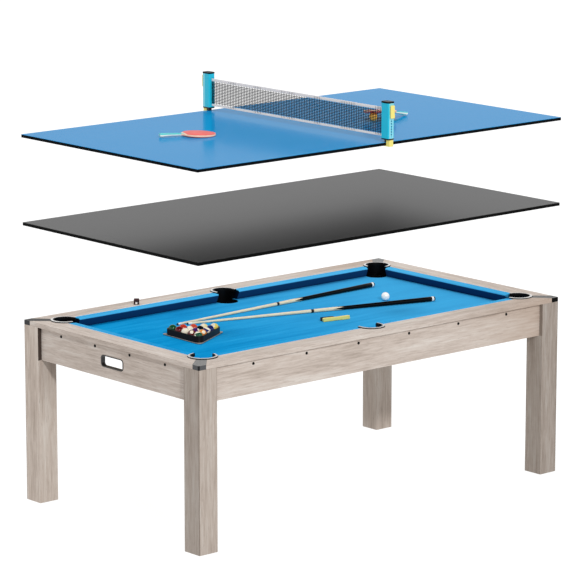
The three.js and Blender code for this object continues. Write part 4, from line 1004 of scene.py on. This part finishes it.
# Table tennis balls, of slightly cloudy plastic
tennisBall = {"radius": 19.0, "tilt": 37}
f = newFinish("celluloid")
cloudy = f.noise(f.place(), 60.0, 2.0, 0.5)
celluloid = f.shade(Base_Color=f.ramp(cloudy, (0.3, colour("#e9b23c")), (0.7, colour("#f0c257"))),
                    Roughness=0.42)
for key in "ab":
    low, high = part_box(f"tennis_ball_{key}")
    centre = np.array((low + high) / 2) / mm
    points = placed(sphere(tennisBall["radius"], 33, 48), turn("X", tennisBall["tilt"]), (0, 0, 0))
    addPiece(f"tennis_ball_{key}_moulded", [gridMesh("ball", points + centre, (False, True))], [celluloid],
             f"tennis_ball_{key}", [f"tennis_ball_{key}"])
print("net, paddles and balls made")

# Studio: a white surround for the eye and for reflections, a plain level of light on the object, and a white
# floor just below it. Lamps are a strength, the way to the lamp and its width in degrees.
studio = {"ambient": 0.56, "worldGlow": 1.0, "floorGlow": 0.93, "floorReach": 60, "floorZ": -0.0005,
          "lamps": {"overhead": (0.8, (-0.05, 0.1, 1.0), 12.0),
                    "frontLeft": (1.35, (-0.317, -0.829, 0.463), 4.0)}}


# The ambient level, raised to glow for rays from the camera, a mirror or glass
def glowLevel(finish, glow):
    rays = finish.node("ShaderNodeLightPath").socket.node.outputs
    cameraRay, glossyRay, clearRay = (Wire(finish, rays[f"Is {kind} Ray"]) for kind in (
        "Camera", "Glossy", "Transmission"))
    return (cameraRay | glossyRay | clearRay) * (glow - studio["ambient"]) + studio["ambient"]


f = Finish(bpy.data.worlds.new("studio"))
surround = {"Color": (1, 1, 1, 1), "Strength": glowLevel(f, studio["worldGlow"])}
f.node("ShaderNodeOutputWorld", {}, {"Surface": f.node("ShaderNodeBackground", {}, surround)})
scene.world = f.owner

f = newFinish("floorPaper")
paper = f.node("ShaderNodeBsdfDiffuse", {}, {"Color": (0.2, 0.2, 0.2, 1)})
glow = f.node("ShaderNodeEmission", {}, {"Strength": glowLevel(f, studio["floorGlow"])})
both = f.node("ShaderNodeAddShader", {}, {0: paper, 1: glow})
f.node("ShaderNodeOutputMaterial", {}, {"Surface": both})
floorMesh = bpy.data.meshes.new("floor")
floorCorners = [(x * studio["floorReach"], y * studio["floorReach"], studio["floorZ"])
                for x, y in ((-1, -1), (1, -1), (1, 1), (-1, 1))]
floorMesh.from_pydata(floorCorners, [], [(0, 1, 2, 3)])
floorMesh.materials.append(f.owner)
floor = bpy.data.objects.new("floor", floorMesh)
scene.collection.objects.link(floor)

for name, (energy, way, angle) in studio["lamps"].items():
    sun = bpy.data.lights.new(name, "SUN")
    sun.energy = energy
    sun.angle = math.radians(angle)
    lamp = bpy.data.objects.new(name, sun)
    lamp.rotation_euler = Vector(way).to_track_quat("Z", "Y").to_euler()
    scene.collection.objects.link(lamp)

view = {"at": (-9.5450, -10.8963, 3.9045), "way": (0.6435289, 0.73800093, -0.20303987), "lens": 208.82}
camera = bpy.data.cameras.new("camera")
camera.lens = view["lens"]
camera.sensor_width = 36.0
camera.clip_end = 200.0
eye = bpy.data.objects.new("camera", camera)
eye.location = view["at"]
eye.rotation_euler = Vector(view["way"]).to_track_quat("-Z", "Y").to_euler()
scene.collection.objects.link(eye)
scene.camera = eye
scene.view_settings.view_transform = "Standard"

print("scene finished")
